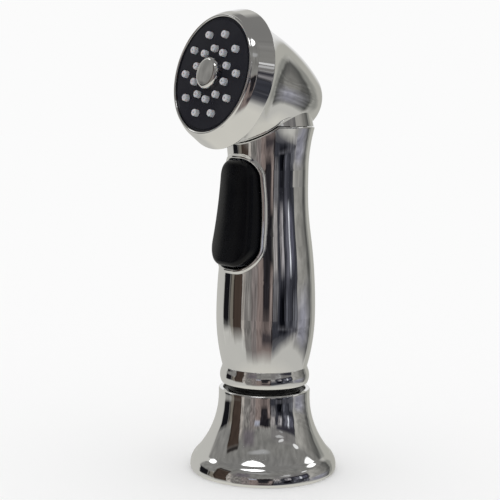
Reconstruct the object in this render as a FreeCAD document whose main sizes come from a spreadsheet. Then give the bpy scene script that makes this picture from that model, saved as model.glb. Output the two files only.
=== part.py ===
"""Hand spray with its deck holder: a chrome handset with a trigger valve, standing in a bell shaped
socket on the sink deck. Millimetres, +Z up, the spray face looks along -Y, and the origin is the
centre of the holder where it meets the deck."""

import FreeCAD
import Part
import Sketcher

import math
import os

from FreeCAD import Placement, Rotation, Vector

# Driving dimensions. Heights in the holder are above the deck, and those in the handset are above the
# holder's shelf, which it stands on. "Reach" is measured along the head's own axis forward of the
# head centre, and "depth" back from the rim of the spray face.
SIZES = {
    # Bell shaped holder
    "bell_height": 31.0,
    "bell_neck_length": 2.5,
    "bell_neck_radius": 17.1,
    "bell_rim_round": 0.6,
    "bell_socket_radius": 15.5,
    "bell_shelf_drop": 2.8,
    "bell_crease_radius": 24.9,
    "bell_crease_height": 7.1,
    "bell_foot_radius": 27.5,
    "bell_foot_height": 1.0,
    "bell_foot_round": 7.2,
    "bell_foot_bevel": 0.4,
    "bell_foot_wall": 2.9,
    "bell_wall": 2.2,
    "bell_cavity_height": 19.0,
    # Gasket under the bell
    "gasket_thickness": 2.0,
    "gasket_width": 6.0,
    "gasket_seat_width": 1.6,
    # Plastic guide inside the bell
    "guide_tube_radius": 14.4,
    "guide_collar_thickness": 1.8,
    "guide_bore_radius": 11.3,
    "guide_seat_depth": 5.0,
    "guide_seat_radius": 13.6,
    "shank_socket_radius": 12.06,
    "shank_socket_length": 11.0,
    # Swivel tail that takes the hose
    "tail_height": -15.2,
    "tail_nut_radius": 10.6,
    "tail_nut_flats": 18.6,
    "tail_hex_height": 8.6,
    "tail_shoulder_height": -3.6,
    "tail_spigot_radius": 7.0,
    "tail_spigot_height": 16.7,
    "tail_bore_radius": 4.2,
    "hose_inlet_radius": 7.475,
    "hose_inlet_length": 8.0,
    "screen_radius": 7.1,
    "screen_thickness": 1.0,
    "screen_hole_radius": 1.1,
    "screen_hole_ring": 4.0,
    "screen_holes": 6,
    "tail_groove_height": 6.8,
    "tail_groove_spacing": 5.0,
    "tail_groove_width": 1.9,
    "tail_ring_radius": 0.85,
    "clip_thickness": 0.9,
    "clip_radius": 9.0,
    "clip_groove_radius": 6.2,
    "clip_gap_angle": 50.0,
    # Bead collar at the foot of the handset
    "collar_foot_height": -2.6,
    "collar_floor_height": 0.8,
    "collar_step_height": 2.8,
    "collar_step_radius": 9.6,
    "collar_neck_height": 3.1,
    "bead_low_height": 5.2,
    "bead_high_height": 10.2,
    "bead_edge_radius": 16.2,
    "bead_radius": 16.75,
    "collar_sleeve_radius": 13.6,
    "collar_sleeve_height": 19.1,
    "collar_bore_radius": 11.0,
    # Handle shell
    "handle_foot_height": 11.3,
    "handle_foot_radius": 15.9,
    "belly_height": 30.8,
    "belly_radius": 18.45,
    "waist_drop": 21.7,
    "waist_radius": 14.85,
    "waist_curve": 118.0,
    "waist_length": 6.0,
    "handle_top_height": 100.5,
    "handle_top_radius": 16.9,
    "handle_top_round": 0.5,
    "handle_wall": 2.1,
    "handle_sleeve_height": 20.8,
    "handle_throat_radius": 13.9,
    # Trigger window with its raised rim
    "window_top_half_width": 8.8,
    "window_lean": 4.2,
    "window_top_drop": 11.9,
    "window_length": 39.6,
    "window_top_corner": 6.8,
    "window_bottom_corner": 8.0,
    "window_rim_width": 1.5,
    "window_rim_height": 0.75,
    "window_rim_round": 0.6,
    # Trigger: pivot, rigid lever and soft pad
    "pivot_depth": 8.8,
    "pivot_drop": 3.8,
    "pivot_pin_radius": 1.25,
    "pivot_ear_radius": 2.4,
    "pivot_ear_half_width": 5.8,
    "pivot_hub_half_width": 3.9,
    "pivot_hub_radius": 3.2,
    "lever_back": 11.0,
    "lever_front": 13.2,
    "lever_nose": 9.6,
    "lever_nose_radius": 2.6,
    "lever_inset": 1.75,
    "pad_gap": 0.35,
    "pad_bottom_gap": 0.8,
    "pad_back": 11.0,
    "pad_crown_centre": 13.0,
    "pad_top_front": 16.9,
    "pad_bottom_front": 21.3,
    "pad_edge_round": 1.9,
    # Water way through the handle
    "waterway_foot_radius": 10.9,
    "waterway_boss_radius": 8.6,
    "waterway_boss_height": 37.8,
    "column_radius": 6.2,
    "column_centre": 2.6,
    "column_drop": 6.7,
    "socket_top_height": 18.3,
    "check_chamber_radius": 5.5,
    "check_chamber_height": 31.8,
    "riser_in_radius": 1.9,
    "riser_in_centre": 4.6,
    "riser_out_radius": 2.4,
    "riser_out_centre": 0.5,
    "elbow_socket_radius": 4.0,
    "elbow_socket_depth": 5.0,
    # Check valve
    "check_seat_flange": 1.15,
    "check_seat_neck": 1.5,
    "check_seat_bore": 2.8,
    "poppet_radius": 4.0,
    "poppet_thickness": 1.4,
    "poppet_stem_radius": 1.2,
    "poppet_stem_engagement": 1.5,
    "poppet_guide_depth": 4.0,
    "check_spring_radius": 2.6,
    # Trigger valve, on an axis across the handle
    "valve_rise": 12.8,
    "valve_block_radius": 6.5,
    "valve_block_front": 7.0,
    "valve_block_back": 11.7,
    "valve_seat_place": 3.0,
    "valve_chamber_radius": 4.8,
    "valve_throat_radius": 3.0,
    "gland_radius": 3.4,
    "gland_back": 2.9,
    "gland_front": 4.5,
    "packing_nut_radius": 4.55,
    "packing_nut_slot": 1.2,
    "plug_length": 2.1,
    "plug_radius": 5.4,
    "stem_radius": 2.0,
    "stem_tip_gap": 0.15,
    "stem_tip_curve": 2.6,
    "stem_disc_radius": 4.2,
    "stem_disc_thickness": 1.2,
    "stem_tail_radius": 1.5,
    "stem_tail_length": 3.6,
    "washer_thickness": 1.25,
    "valve_spring_radius": 3.4,
    "spring_wire": 0.5,
    # Head: one axis, tilted up, through the head centre
    "head_rise": 12.33,
    "head_tilt": 12.04,
    "head_reach": 27.76,
    "lip_radius": 21.8,
    "lip_front_radius": 21.2,
    "lip_round": 0.7,
    "ring_shoulder_radius": 23.2,
    "ring_shoulder_depth": 2.4,
    "ring_back_radius": 25.45,
    "ring_back_depth": 8.25,
    "ring_back_bevel": 0.35,
    "ring_bore_radius": 20.75,
    "ring_bore_depth": 2.1,
    "ring_thread_radius": 22.0,
    "bulb_front_radius": 25.0,
    "bulb_bend_radius": 20.6,
    "bulb_bend_depth": 19.0,
    "bulb_side_curve": 82.0,
    "bulb_end_radius": 12.93,
    "bulb_end_depth": 36.55,
    "bulb_wall": 3.0,
    "bulb_spigot_depth": 4.4,
    "neck_radius": 16.4,
    "neck_top_radius": 14.6,
    "neck_rise": 8.3,
    "neck_spigot_radius": 12.55,
    "neck_spigot_drop": 10.1,
    "neck_bore_radius": 10.9,
    # Spray face
    "face_depth": 0.5,
    "face_edge_radius": 19.8,
    "face_edge_step": 0.45,
    "face_radius": 20.6,
    "face_flange_radius": 21.85,
    "face_back_depth": 3.75,
    "nozzle_count": 10,
    "nozzle_outer_ring": 14.75,
    "nozzle_inner_ring": 9.08,
    "nozzle_tip_radius": 1.2,
    "nozzle_root_radius": 1.42,
    "nozzle_bevel": 0.35,
    "nozzle_reach": 0.82,
    "nozzle_orifice": 0.35,
    "mat_radius": 19.0,
    "mat_thickness": 1.25,
    "mat_bore_radius": 3.5,
    "distributor_radius": 19.6,
    "distributor_thickness": 3.4,
    "plenum_radius": 18.0,
    "plenum_depth": 1.0,
    "stub_radius": 7.2,
    "stub_bore_radius": 5.4,
    "stub_length": 6.2,
    "stub_groove_place": 3.2,
    "stub_ring_radius": 0.8,
    "port_radius": 0.8,
    "port_ring": 4.4,
    "port_count": 6,
    "screw_radius": 1.25,
    "screw_length": 6.0,
    "screw_head_radius": 2.6,
    "screw_head_height": 1.4,
    "cap_radius": 5.7,
    "cap_height": 3.0,
    "cap_edge_round": 1.4,
    "cap_dome_curve": 40.0,
    "cap_wall": 1.0,
    "cap_spigot_radius": 4.9,
    "cap_recess_depth": 1.0,
    # Elbow from the handle to the spray face
    "elbow_leg_radius": 5.6,
    "elbow_barrel_radius": 9.0,
    "elbow_barrel_back": 4.5,
    "elbow_duct_radius": 4.5,
    "elbow_duct_back": 2.0,
    # Clearances
    "seat_gap": 0.35,
    "running_fit": 0.05,
    "slip_fit": 0.1,
    "seam_gap": 0.2,
}


class Size:
    """A length or an angle: its value and the sheet formula that gives it."""

    def __init__(self, value, text):
        self.value = value
        self.text = text

    def __add__(self, other):
        other = as_size(other)
        return Size(self.value + other.value, f"({self.text} + {other.text})")

    def __sub__(self, other):
        other = as_size(other)
        return Size(self.value - other.value, f"({self.text} - {other.text})")

    def __mul__(self, other):
        other = as_size(other)
        return Size(self.value * other.value, f"({self.text} * {other.text})")

    def __truediv__(self, other):
        other = as_size(other)
        return Size(self.value / other.value, f"({self.text} / {other.text})")

    def __neg__(self):
        return Size(-self.value, f"(-1 * {self.text})")

    __radd__ = __add__
    __rmul__ = __mul__


def as_size(number):
    """A plain number joins the sizes as itself."""
    return number if isinstance(number, Size) else Size(float(number), repr(number))


def root(size):
    return Size(math.sqrt(size.value), f"sqrt({size.text})")


def cosine(size):
    return Size(math.cos(math.radians(size.value)), f"cos({size.text})")


def sine(size):
    return Size(math.sin(math.radians(size.value)), f"sin({size.text})")


class Dimensions:
    """Puts the driving dimensions in the sheet, one to a row, and gives each one as a Size."""

    def __init__(self, sheet, sizes):
        for row, (alias, number) in enumerate(sizes.items(), start=1):
            sheet.set(f"A{row}", alias.replace("_", " "))
            sheet.set(f"B{row}", str(number))
            sheet.setAlias(f"B{row}", alias)
            setattr(self, alias, Size(float(number), f"Sizes.{alias}"))


doc = FreeCAD.newDocument("HandSpray")
sheet = doc.addObject("Spreadsheet::Sheet", "Sizes")
d = Dimensions(sheet, SIZES)
doc.recompute()

ZERO = as_size(0)

# The holder's shelf, and the handset's heights counted from it
d.bell_neck_height = d.bell_height - d.bell_neck_length
d.bell_shelf_height = d.bell_height - d.bell_shelf_drop
d.guide_top_height = d.bell_shelf_height + d.guide_collar_thickness
d.guide_seat_height = d.guide_top_height - d.guide_seat_depth
HANDSET_HEIGHTS = [
    "tail_height", "tail_shoulder_height", "tail_spigot_height", "tail_groove_height",
    "collar_foot_height", "collar_floor_height", "collar_step_height", "collar_neck_height",
    "collar_sleeve_height", "bead_low_height", "bead_high_height",
    "handle_foot_height", "handle_sleeve_height", "handle_top_height", "belly_height",
    "waterway_boss_height", "socket_top_height", "check_chamber_height",
]
for alias in HANDSET_HEIGHTS:
    setattr(d, alias, d.bell_shelf_height + getattr(d, alias))

# The head, the trigger and its valve hang on the handle's top
d.waist_height = d.handle_top_height - d.waist_drop
d.window_top_height = d.handle_top_height - d.window_top_drop
d.window_bottom_height = d.window_top_height - d.window_length
d.pivot_height = d.window_top_height - d.pivot_drop
d.valve_height = d.window_bottom_height + d.valve_rise
d.column_height = d.handle_top_height - d.column_drop
d.head_height = d.handle_top_height + d.head_rise
d.neck_top_height = d.handle_top_height + d.neck_rise
d.neck_spigot_height = d.handle_top_height - d.neck_spigot_drop

# A feature that changes its body by less than this, in cubic millimetres, has missed it
SMALLEST_CHANGE = 0.01


# Drawing helpers

def new_body(label):
    body = doc.addObject("PartDesign::Body", label)
    body.Label = label
    return body


def bind(target, prop, size):
    """Set a property from a size and keep it bound to the sheet."""
    target.setExpression(prop, size.text)


def new_sketch(body, name, role, origin=(0, 0, 0), turn=None):
    """A sketch on one of the body's own origin planes, shifted and turned within that plane's frame."""
    sketch = body.newObject("Sketcher::SketchObject", f"{body.Name}_{name}")
    plane = [item for item in body.Origin.OriginFeatures if item.Role == role][0]
    sketch.AttachmentSupport = [(plane, "")]
    sketch.MapMode = "FlatFace"
    place = [as_size(value) for value in origin]
    angle = as_size(turn or 0)
    sketch.AttachmentOffset = Placement(Vector(*(p.value for p in place)),
                                        Rotation(Vector(0, 0, 1), angle.value))
    for letter, size in zip("xyz", place):
        if "Sizes." in size.text:
            bind(sketch, f"AttachmentOffset.Base.{letter}", size)
    if "Sizes." in angle.text:
        bind(sketch, "AttachmentOffset.Rotation.Angle", angle)
    return sketch


class Corner:
    """One corner of an outline, with the edge that arrives there: a line, or an arc of the given
    radius that turns left (turn=1) or right (turn=-1). smooth joins the next edge tangentially.
    held=False leaves the place, and fixed=False the radius, to the tangent joints."""

    def __init__(self, x, y, radius=None, turn=1, smooth=False, held=True, fixed=True):
        self.x = as_size(x)
        self.y = as_size(y)
        self.radius = None if radius is None else as_size(radius)
        self.turn = turn
        self.smooth = smooth
        self.held = held
        self.fixed = fixed

    def point(self):
        return Vector(self.x.value, self.y.value, 0)


def arc_edge(start, end, radius, turn):
    """The shorter arc from start to end, stored counter clockwise as a sketch wants it."""
    chord = end - start
    left = Vector(-chord.y, chord.x, 0).normalize()
    rise = math.sqrt(max(radius ** 2 - (chord.Length / 2) ** 2, 0.0))
    centre = (start + end) * 0.5 + left * rise * turn
    first, last = (start, end) if turn > 0 else (end, start)
    from_angle = math.atan2(first.y - centre.y, first.x - centre.x)
    to_angle = math.atan2(last.y - centre.y, last.x - centre.x)
    if to_angle < from_angle:
        to_angle += 2 * math.pi
    circle = Part.Circle(centre, Vector(0, 0, 1), radius)
    return Part.ArcOfCircle(circle, from_angle, to_angle)


def hold_point(sketch, edge, end, x, y):
    """Fix a point of the sketch at x, y with two dimensions bound to the sheet."""
    for kind, size, axis in (("DistanceX", x, -2), ("DistanceY", y, -1)):
        if abs(size.value) < 1e-9:
            sketch.addConstraint(Sketcher.Constraint("PointOnObject", edge, end, axis))
            continue
        index = sketch.addConstraint(Sketcher.Constraint(kind, -1, 1, edge, end, size.value))
        bind(sketch, f"Constraints[{index}]", size)


def hold_radius(sketch, edge, size):
    index = sketch.addConstraint(Sketcher.Constraint("Radius", edge, size.value))
    bind(sketch, f"Constraints[{index}]", size)


def draw_outline(sketch, corners):
    """Draw a closed outline and give each edge's number in the sketch."""
    ends = []
    edges = []
    for before, corner in zip([corners[-1]] + corners[:-1], corners):
        start = before.point()
        end = corner.point()
        if corner.radius is None:
            shape = Part.LineSegment(start, end)
        else:
            shape = arc_edge(start, end, corner.radius.value, corner.turn)
        edges.append(sketch.addGeometry(shape, False))
        backward = corner.radius is not None and corner.turn < 0
        ends.append((2, 1) if backward else (1, 2))
    for i, corner in enumerate(corners):
        j = (i + 1) % len(corners)
        kind = "Tangent" if corner.smooth else "Coincident"
        sketch.addConstraint(Sketcher.Constraint(kind, edges[i], ends[i][1], edges[j], ends[j][0]))
        if corner.held:
            hold_point(sketch, edges[i], ends[i][1], corner.x, corner.y)
        if corner.radius is not None and corner.fixed:
            hold_radius(sketch, edges[i], corner.radius)
    return edges


def draw_circle(sketch, x, y, radius):
    x, y, radius = as_size(x), as_size(y), as_size(radius)
    circle = Part.Circle(Vector(x.value, y.value, 0), Vector(0, 0, 1), radius.value)
    edge = sketch.addGeometry(circle, False)
    hold_point(sketch, edge, 3, x, y)
    hold_radius(sketch, edge, radius)


def polygon(points):
    return [Corner(x, y) for x, y in points]


def rounded_outline(top_half_width, top, bottom, top_corner, bottom_corner, lean):
    """An upright shape with rounded corners, whose sides lean together towards the top. It is drawn
    counter clockwise from the lower right corner."""
    bottom_half_width = top_half_width + (top - bottom) * sine(lean) / cosine(lean)
    # A corner's round starts this far from the sharp corner, along the level edge and along the side
    top_start = top_corner * (as_size(1) - sine(lean)) / cosine(lean)
    bottom_start = bottom_corner * (as_size(1) + sine(lean)) / cosine(lean)
    high_x = top_half_width + top_start * sine(lean)
    high = top - top_start * cosine(lean)
    low_x = bottom_half_width - bottom_start * sine(lean)
    low = bottom + bottom_start * cosine(lean)
    return [
        Corner(low_x, low, bottom_corner),
        Corner(high_x, high),
        Corner(top_half_width - top_start, top, top_corner),
        Corner(top_start - top_half_width, top),
        Corner(-high_x, high, top_corner),
        Corner(-low_x, low),
        Corner(bottom_start - bottom_half_width, bottom, bottom_corner),
        Corner(bottom_half_width - bottom_start, bottom),
    ]


def feature(body, kind, name, sketch):
    made = body.newObject(f"PartDesign::{kind}", f"{body.Name}_{name}")
    made.Profile = sketch
    return made


def turned(body, name, corners, kind="Revolution", role="XZ_Plane", origin=(0, 0, 0), turn=None):
    """Turn an outline about its sketch's upright axis: a Revolution adds, a Groove cuts."""
    sketch = new_sketch(body, f"{name}_outline", role, origin, turn)
    draw_outline(sketch, corners)
    made = feature(body, kind, name, sketch)
    made.ReferenceAxis = (sketch, ["V_Axis"])
    made.Angle = 360
    return made


def pad(body, name, sketch, length, middle=False, flip=False):
    made = feature(body, "Pad", name, sketch)
    bind(made, "Length", as_size(length))
    made.Midplane = middle
    made.Reversed = flip
    return made


def pocket(body, name, sketch, length, middle=False, flip=False):
    """Cut against the sketch's normal, or along it with flip."""
    made = feature(body, "Pocket", name, sketch)
    bind(made, "Length", as_size(length))
    made.Midplane = middle
    made.Reversed = flip
    return made


def polar(body, name, originals, count):
    pattern = body.newObject("PartDesign::PolarPattern", f"{body.Name}_{name}")
    pattern.Originals = originals
    axis = [item for item in body.Origin.OriginFeatures if item.Role == "Z_Axis"][0]
    pattern.Axis = (axis, [""])
    pattern.Angle = 360
    bind(pattern, "Occurrences", count)
    body.Tip = pattern
    return pattern


def fillet(body, name, radius, chosen):
    """Round the edges of the body's last feature that the test picks out."""
    doc.recompute()
    base = body.Tip
    names = [f"Edge{i}" for i, edge in enumerate(base.Shape.Edges, start=1) if chosen(edge)]
    made = body.newObject("PartDesign::Fillet", f"{body.Name}_{name}")
    made.Base = (base, names)
    bind(made, "Radius", radius)
    body.Tip = made
    return made


def put_on_head_axis(body):
    """Lay a body that was made about its own Z axis on the head's axis, facing forward."""
    lean = 90 - d.head_tilt.value
    body.Placement = Placement(Vector(0, 0, d.head_height.value), Rotation(Vector(1, 0, 0), lean))
    bind(body, "Placement.Base.z", d.head_height)
    bind(body, "Placement.Rotation.Angle", as_size(90) - d.head_tilt)


def put_on_valve_axis(body):
    """Lay a body that was made about its own Z axis across the handle, with its Z towards the back."""
    body.Placement = Placement(Vector(0, 0, d.valve_height.value), Rotation(Vector(1, 0, 0), -90))
    bind(body, "Placement.Base.z", d.valve_height)


def upright_tangent_radius(rise, run):
    """Radius of an arc that starts upright and has gone over by run when it has gone up by rise."""
    return (rise * rise + run * run) / (run * 2)


def ring_of_wire(body, name, centre_radius, height, wire_radius):
    """An O-ring: a circle turned about the body's axis."""
    sketch = new_sketch(body, f"{name}_section", "XZ_Plane")
    draw_circle(sketch, centre_radius, height, wire_radius)
    made = feature(body, "Revolution", name, sketch)
    made.ReferenceAxis = (sketch, ["V_Axis"])
    made.Angle = 360
    return made


def coil(label, radius, low, high, wire, turns):
    """A compression spring of square wire about the body's Z axis."""
    body = new_body(label)
    sketch = new_sketch(body, "section", "XZ_Plane")
    draw_outline(sketch, polygon([(radius - wire / 2, low), (radius + wire / 2, low),
                                  (radius + wire / 2, low + wire), (radius - wire / 2, low + wire)]))
    made = feature(body, "AdditiveHelix", "coil", sketch)
    made.ReferenceAxis = (sketch, ["V_Axis"])
    made.Mode = "height-turns-growth"
    bind(made, "Height", high - low - wire)
    made.Turns = turns
    return body


# Deck flange: the spun chrome bell. Its foot bulges below a crease and its top holds the guide.

def make_deck_flange():
    body = new_body("deck_flange")
    waist_rise = d.bell_neck_height - d.bell_crease_height
    waist_run = d.bell_crease_radius - d.bell_neck_radius
    sweep = upright_tangent_radius(waist_rise, waist_run)
    foot_bore = d.bell_foot_radius - d.bell_foot_wall
    cavity_low = foot_bore - d.gasket_seat_width
    cavity_high = d.guide_tube_radius + d.seam_gap
    turned(body, "shell", [
        Corner(foot_bore, ZERO),
        Corner(d.bell_foot_radius - d.bell_foot_bevel, ZERO),
        Corner(d.bell_foot_radius, d.bell_foot_height),
        Corner(d.bell_crease_radius, d.bell_crease_height, d.bell_foot_round),
        Corner(d.bell_neck_radius, d.bell_neck_height, sweep, turn=-1),
        Corner(d.bell_neck_radius, d.bell_height - d.bell_rim_round),
        Corner(d.bell_neck_radius - d.bell_rim_round, d.bell_height, d.bell_rim_round),
        Corner(d.bell_socket_radius, d.bell_height),
        Corner(d.bell_socket_radius, d.bell_shelf_height),
        Corner(cavity_high, d.bell_shelf_height),
        Corner(cavity_high, d.bell_cavity_height),
        Corner(cavity_low, d.bell_crease_height - d.bell_wall),
        Corner(cavity_low, d.gasket_thickness),
        Corner(foot_bore, d.gasket_thickness),
    ])
    return body


# Deck gasket: the flat rubber ring in the foot of the bell, flush with the deck.

def make_deck_gasket():
    body = new_body("deck_gasket")
    outside = d.bell_foot_radius - d.bell_foot_wall - d.slip_fit
    inside = outside - d.gasket_width
    turned(body, "ring", polygon([
        (inside, ZERO), (outside, ZERO),
        (outside, d.gasket_thickness), (inside, d.gasket_thickness)]))
    return body


# Holder guide: the black liner. Its collar hangs on the shelf of the bell, its cone carries the
# handset and its lower end takes the threaded shank that comes up through the deck.

def make_holder_guide():
    body = new_body("holder_guide")
    collar_top = d.guide_top_height
    collar_radius = d.bell_socket_radius - d.seam_gap
    turned(body, "liner", polygon([
        (d.shank_socket_radius, ZERO),
        (d.guide_tube_radius, ZERO),
        (d.guide_tube_radius, d.bell_shelf_height),
        (collar_radius, d.bell_shelf_height),
        (collar_radius, collar_top),
        (d.guide_seat_radius, collar_top),
        (d.guide_bore_radius, d.guide_seat_height),
        (d.guide_bore_radius, d.shank_socket_length),
        (d.shank_socket_radius, d.shank_socket_length)]))
    return body


# Swivel tail: the brass end of the handset that the hose screws into. It turns in the collar.

def tail_groove_place(number):
    return d.tail_groove_height + d.tail_groove_spacing * number


def make_swivel_tail():
    body = new_body("swivel_tail")
    clip_low = d.collar_floor_height + d.seam_gap
    clip_high = clip_low + d.clip_thickness + d.slip_fit
    inlet_top = d.tail_height + d.hose_inlet_length
    screen_seat = d.screen_radius + d.slip_fit
    screen_top = inlet_top + d.screen_thickness
    turned(body, "barrel", polygon([
        (d.hose_inlet_radius, d.tail_height),
        (d.tail_nut_radius, d.tail_height),
        (d.tail_nut_radius, d.tail_shoulder_height),
        (d.tail_spigot_radius, d.tail_shoulder_height),
        (d.tail_spigot_radius, clip_low),
        (d.clip_groove_radius, clip_low),
        (d.clip_groove_radius, clip_high),
        (d.tail_spigot_radius, clip_high),
        (d.tail_spigot_radius, d.tail_spigot_height),
        (d.tail_bore_radius, d.tail_spigot_height),
        (d.tail_bore_radius, screen_top),
        (screen_seat, screen_top),
        (screen_seat, inlet_top),
        (d.hose_inlet_radius, inlet_top)]))
    groove_floor = d.tail_spigot_radius - d.tail_ring_radius * 2
    for number in range(2):
        low = tail_groove_place(number) - d.tail_groove_width / 2
        high = low + d.tail_groove_width
        turned(body, f"ring_groove_{number}", polygon([
            (groove_floor, low), (d.tail_nut_radius, low),
            (d.tail_nut_radius, high), (groove_floor, high)]), kind="Groove")
    flats = new_sketch(body, "flats_outline", "XY_Plane", origin=(0, 0, d.tail_height))
    draw_circle(flats, 0, 0, d.tail_nut_radius * 2)
    corner_radius = d.tail_nut_flats / root(as_size(3))
    hexagon = []
    for step in range(6):
        angle = as_size(60 * step)
        hexagon.append((corner_radius * cosine(angle), corner_radius * sine(angle)))
    draw_outline(flats, polygon(hexagon))
    pocket(body, "flats", flats, d.tail_hex_height, flip=True)
    return body


# O-rings of the swivel, in the two grooves of the tail's spigot.

def make_swivel_orings():
    body = new_body("swivel_orings")
    centre_radius = d.tail_spigot_radius - d.tail_ring_radius
    for number in range(2):
        ring_of_wire(body, f"ring_{number}", centre_radius, tail_groove_place(number),
                     d.tail_ring_radius)
    return body


# Retaining clip: the open snap ring above the collar's floor that keeps the tail in the handset.

def make_retaining_clip():
    body = new_body("retaining_clip")
    low = d.collar_floor_height + d.seam_gap + d.slip_fit / 2
    sketch = new_sketch(body, "outline", "XY_Plane", origin=(0, 0, low))
    inner = d.clip_groove_radius + d.slip_fit
    half_gap = d.clip_gap_angle / 2
    out_x = d.clip_radius * cosine(half_gap)
    out_y = d.clip_radius * sine(half_gap)
    in_x = inner * cosine(half_gap)
    in_y = inner * sine(half_gap)
    draw_outline(sketch, [
        Corner(out_x, out_y),
        Corner(-d.clip_radius, ZERO, d.clip_radius),
        Corner(out_x, -out_y, d.clip_radius),
        Corner(in_x, -in_y),
        Corner(-inner, ZERO, inner, turn=-1),
        Corner(in_x, in_y, inner, turn=-1),
    ])
    pad(body, "plate", sketch, d.clip_thickness)
    return body


# Inlet screen: the drilled washer in its recess above the hose thread.

def make_inlet_screen():
    body = new_body("inlet_screen")
    low = d.tail_height + d.hose_inlet_length
    top = low + d.screen_thickness
    turned(body, "disc", polygon([
        (ZERO, low), (d.screen_radius, low), (d.screen_radius, top), (ZERO, top)]))
    middle = new_sketch(body, "middle_hole_outline", "XY_Plane", origin=(0, 0, low))
    draw_circle(middle, 0, 0, d.screen_hole_radius)
    pocket(body, "middle_hole", middle, d.screen_thickness, flip=True)
    outer = new_sketch(body, "outer_hole_outline", "XY_Plane", origin=(0, 0, low))
    draw_circle(outer, d.screen_hole_ring, 0, d.screen_hole_radius)
    hole = pocket(body, "outer_hole", outer, d.screen_thickness, flip=True)
    polar(body, "outer_holes", [hole], d.screen_holes)
    return body


# Base collar: the chrome bead under the handle. Its cone sits in the guide, its sleeve holds the
# handle and its floor carries the swivel.

def make_base_collar():
    body = new_body("base_collar")
    seat_slope = (d.guide_seat_radius - d.guide_bore_radius) / d.guide_seat_depth
    foot_rise = d.collar_foot_height - d.guide_seat_height
    neck_rise = d.collar_neck_height - d.guide_seat_height
    foot_radius = d.guide_bore_radius + seat_slope * foot_rise - d.seat_gap
    neck_radius = d.guide_bore_radius + seat_slope * neck_rise - d.seat_gap
    half_bead = (d.bead_high_height - d.bead_low_height) / 2
    bulge = d.bead_radius - d.bead_edge_radius
    bead_curve = (half_bead * half_bead + bulge * bulge) / (bulge * 2)
    floor_bore = d.tail_spigot_radius + d.running_fit
    turned(body, "bead", [
        Corner(floor_bore, d.collar_foot_height),
        Corner(foot_radius, d.collar_foot_height),
        Corner(neck_radius, d.collar_neck_height),
        Corner(d.bead_edge_radius, d.bead_low_height),
        Corner(d.bead_edge_radius, d.bead_high_height, bead_curve),
        Corner(d.handle_foot_radius, d.handle_foot_height),
        Corner(d.collar_sleeve_radius, d.handle_foot_height),
        Corner(d.collar_sleeve_radius, d.collar_sleeve_height),
        Corner(d.collar_bore_radius, d.collar_sleeve_height),
        Corner(d.collar_bore_radius, d.collar_step_height),
        Corner(d.collar_step_radius, d.collar_step_height),
        Corner(d.collar_step_radius, d.collar_floor_height),
        Corner(floor_bore, d.collar_floor_height),
    ])
    return body


# Handle shell: the waisted chrome grip. The trigger window has a raised half round rim, and the
# top is cut to the underside of the head.

def handle_side(shift):
    """The handle's outside from foot to top, moved outwards by shift."""
    foot_rise = d.belly_height - d.handle_foot_height
    foot_run = d.belly_radius - d.handle_foot_radius
    foot_curve = upright_tangent_radius(foot_rise, foot_run)
    rise = d.waist_height - d.belly_height
    run = d.belly_radius - d.waist_radius
    both_curves = upright_tangent_radius(rise, run)
    belly_curve = both_curves - d.waist_curve
    bend_height = d.waist_height - d.waist_curve * rise / both_curves
    bend_radius = d.waist_radius + d.waist_curve * run / both_curves
    flare_low = d.waist_height + d.waist_length
    flare_rise = d.handle_top_height - flare_low
    flare_run = d.handle_top_radius - d.waist_radius
    flare_curve = upright_tangent_radius(flare_rise, flare_run)
    return [
        Corner(d.handle_foot_radius + shift, d.handle_foot_height),
        Corner(d.belly_radius + shift, d.belly_height, foot_curve),
        Corner(bend_radius + shift, bend_height, belly_curve),
        Corner(d.waist_radius + shift, d.waist_height, d.waist_curve, turn=-1),
        Corner(d.waist_radius + shift, flare_low),
        Corner(d.handle_top_radius + shift, d.handle_top_height, flare_curve, turn=-1),
    ]


def window_outline(inset, bottom_inset=None):
    """The trigger window's outline, drawn smaller all round by inset, or at the bottom by its own."""
    lean = d.window_lean
    narrowing = inset * (as_size(1) - sine(lean)) / cosine(lean)
    bottom = d.window_bottom_height + (inset if bottom_inset is None else bottom_inset)
    return rounded_outline(d.window_top_half_width - narrowing, d.window_top_height - inset, bottom,
                           d.window_top_corner - inset, d.window_bottom_corner - inset, lean)


def bulb_outline(shift):
    """The head's outside from its rear end to the crease behind the face ring, moved outwards by
    shift: a ball, a long bulging side and a hollow flare, each tangent to the next."""
    ball = d.head_reach - d.bulb_end_depth
    bend = d.head_reach - d.bulb_bend_depth
    front = d.head_reach - d.ring_back_depth
    # Starting places for the two tangent joints, which the sketch then solves for itself
    ball_point = Vector(0, ball.value, 0)
    bend_point = Vector(d.bulb_bend_radius.value, bend.value, 0)
    front_point = Vector(d.bulb_front_radius.value, front.value, 0)
    reach = d.bulb_side_curve.value - d.bulb_end_radius.value
    span = bend_point - ball_point
    along = (reach ** 2 - d.bulb_side_curve.value ** 2 + span.Length ** 2) / (2 * span.Length)
    across = math.sqrt(reach ** 2 - along ** 2)
    unit = span * (1 / span.Length)
    side_centre = ball_point + unit * along + Vector(-unit.y, unit.x, 0) * across
    if side_centre.x > 0:
        side_centre = ball_point + unit * along - Vector(-unit.y, unit.x, 0) * across
    joint = ball_point + (ball_point - side_centre) * (d.bulb_end_radius.value / reach)
    normal = (bend_point - side_centre) * (1 / d.bulb_side_curve.value)
    gap = front_point - bend_point
    flare = gap.Length ** 2 / (2 * gap.dot(normal))
    return [
        Corner(shift, ball - d.bulb_end_radius),
        Corner(shift + joint.x, joint.y, d.bulb_end_radius, smooth=True, held=False),
        Corner(d.bulb_bend_radius + shift, bend, d.bulb_side_curve, smooth=True),
        Corner(d.bulb_front_radius + shift, front, flare, turn=-1, fixed=False),
    ]


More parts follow.
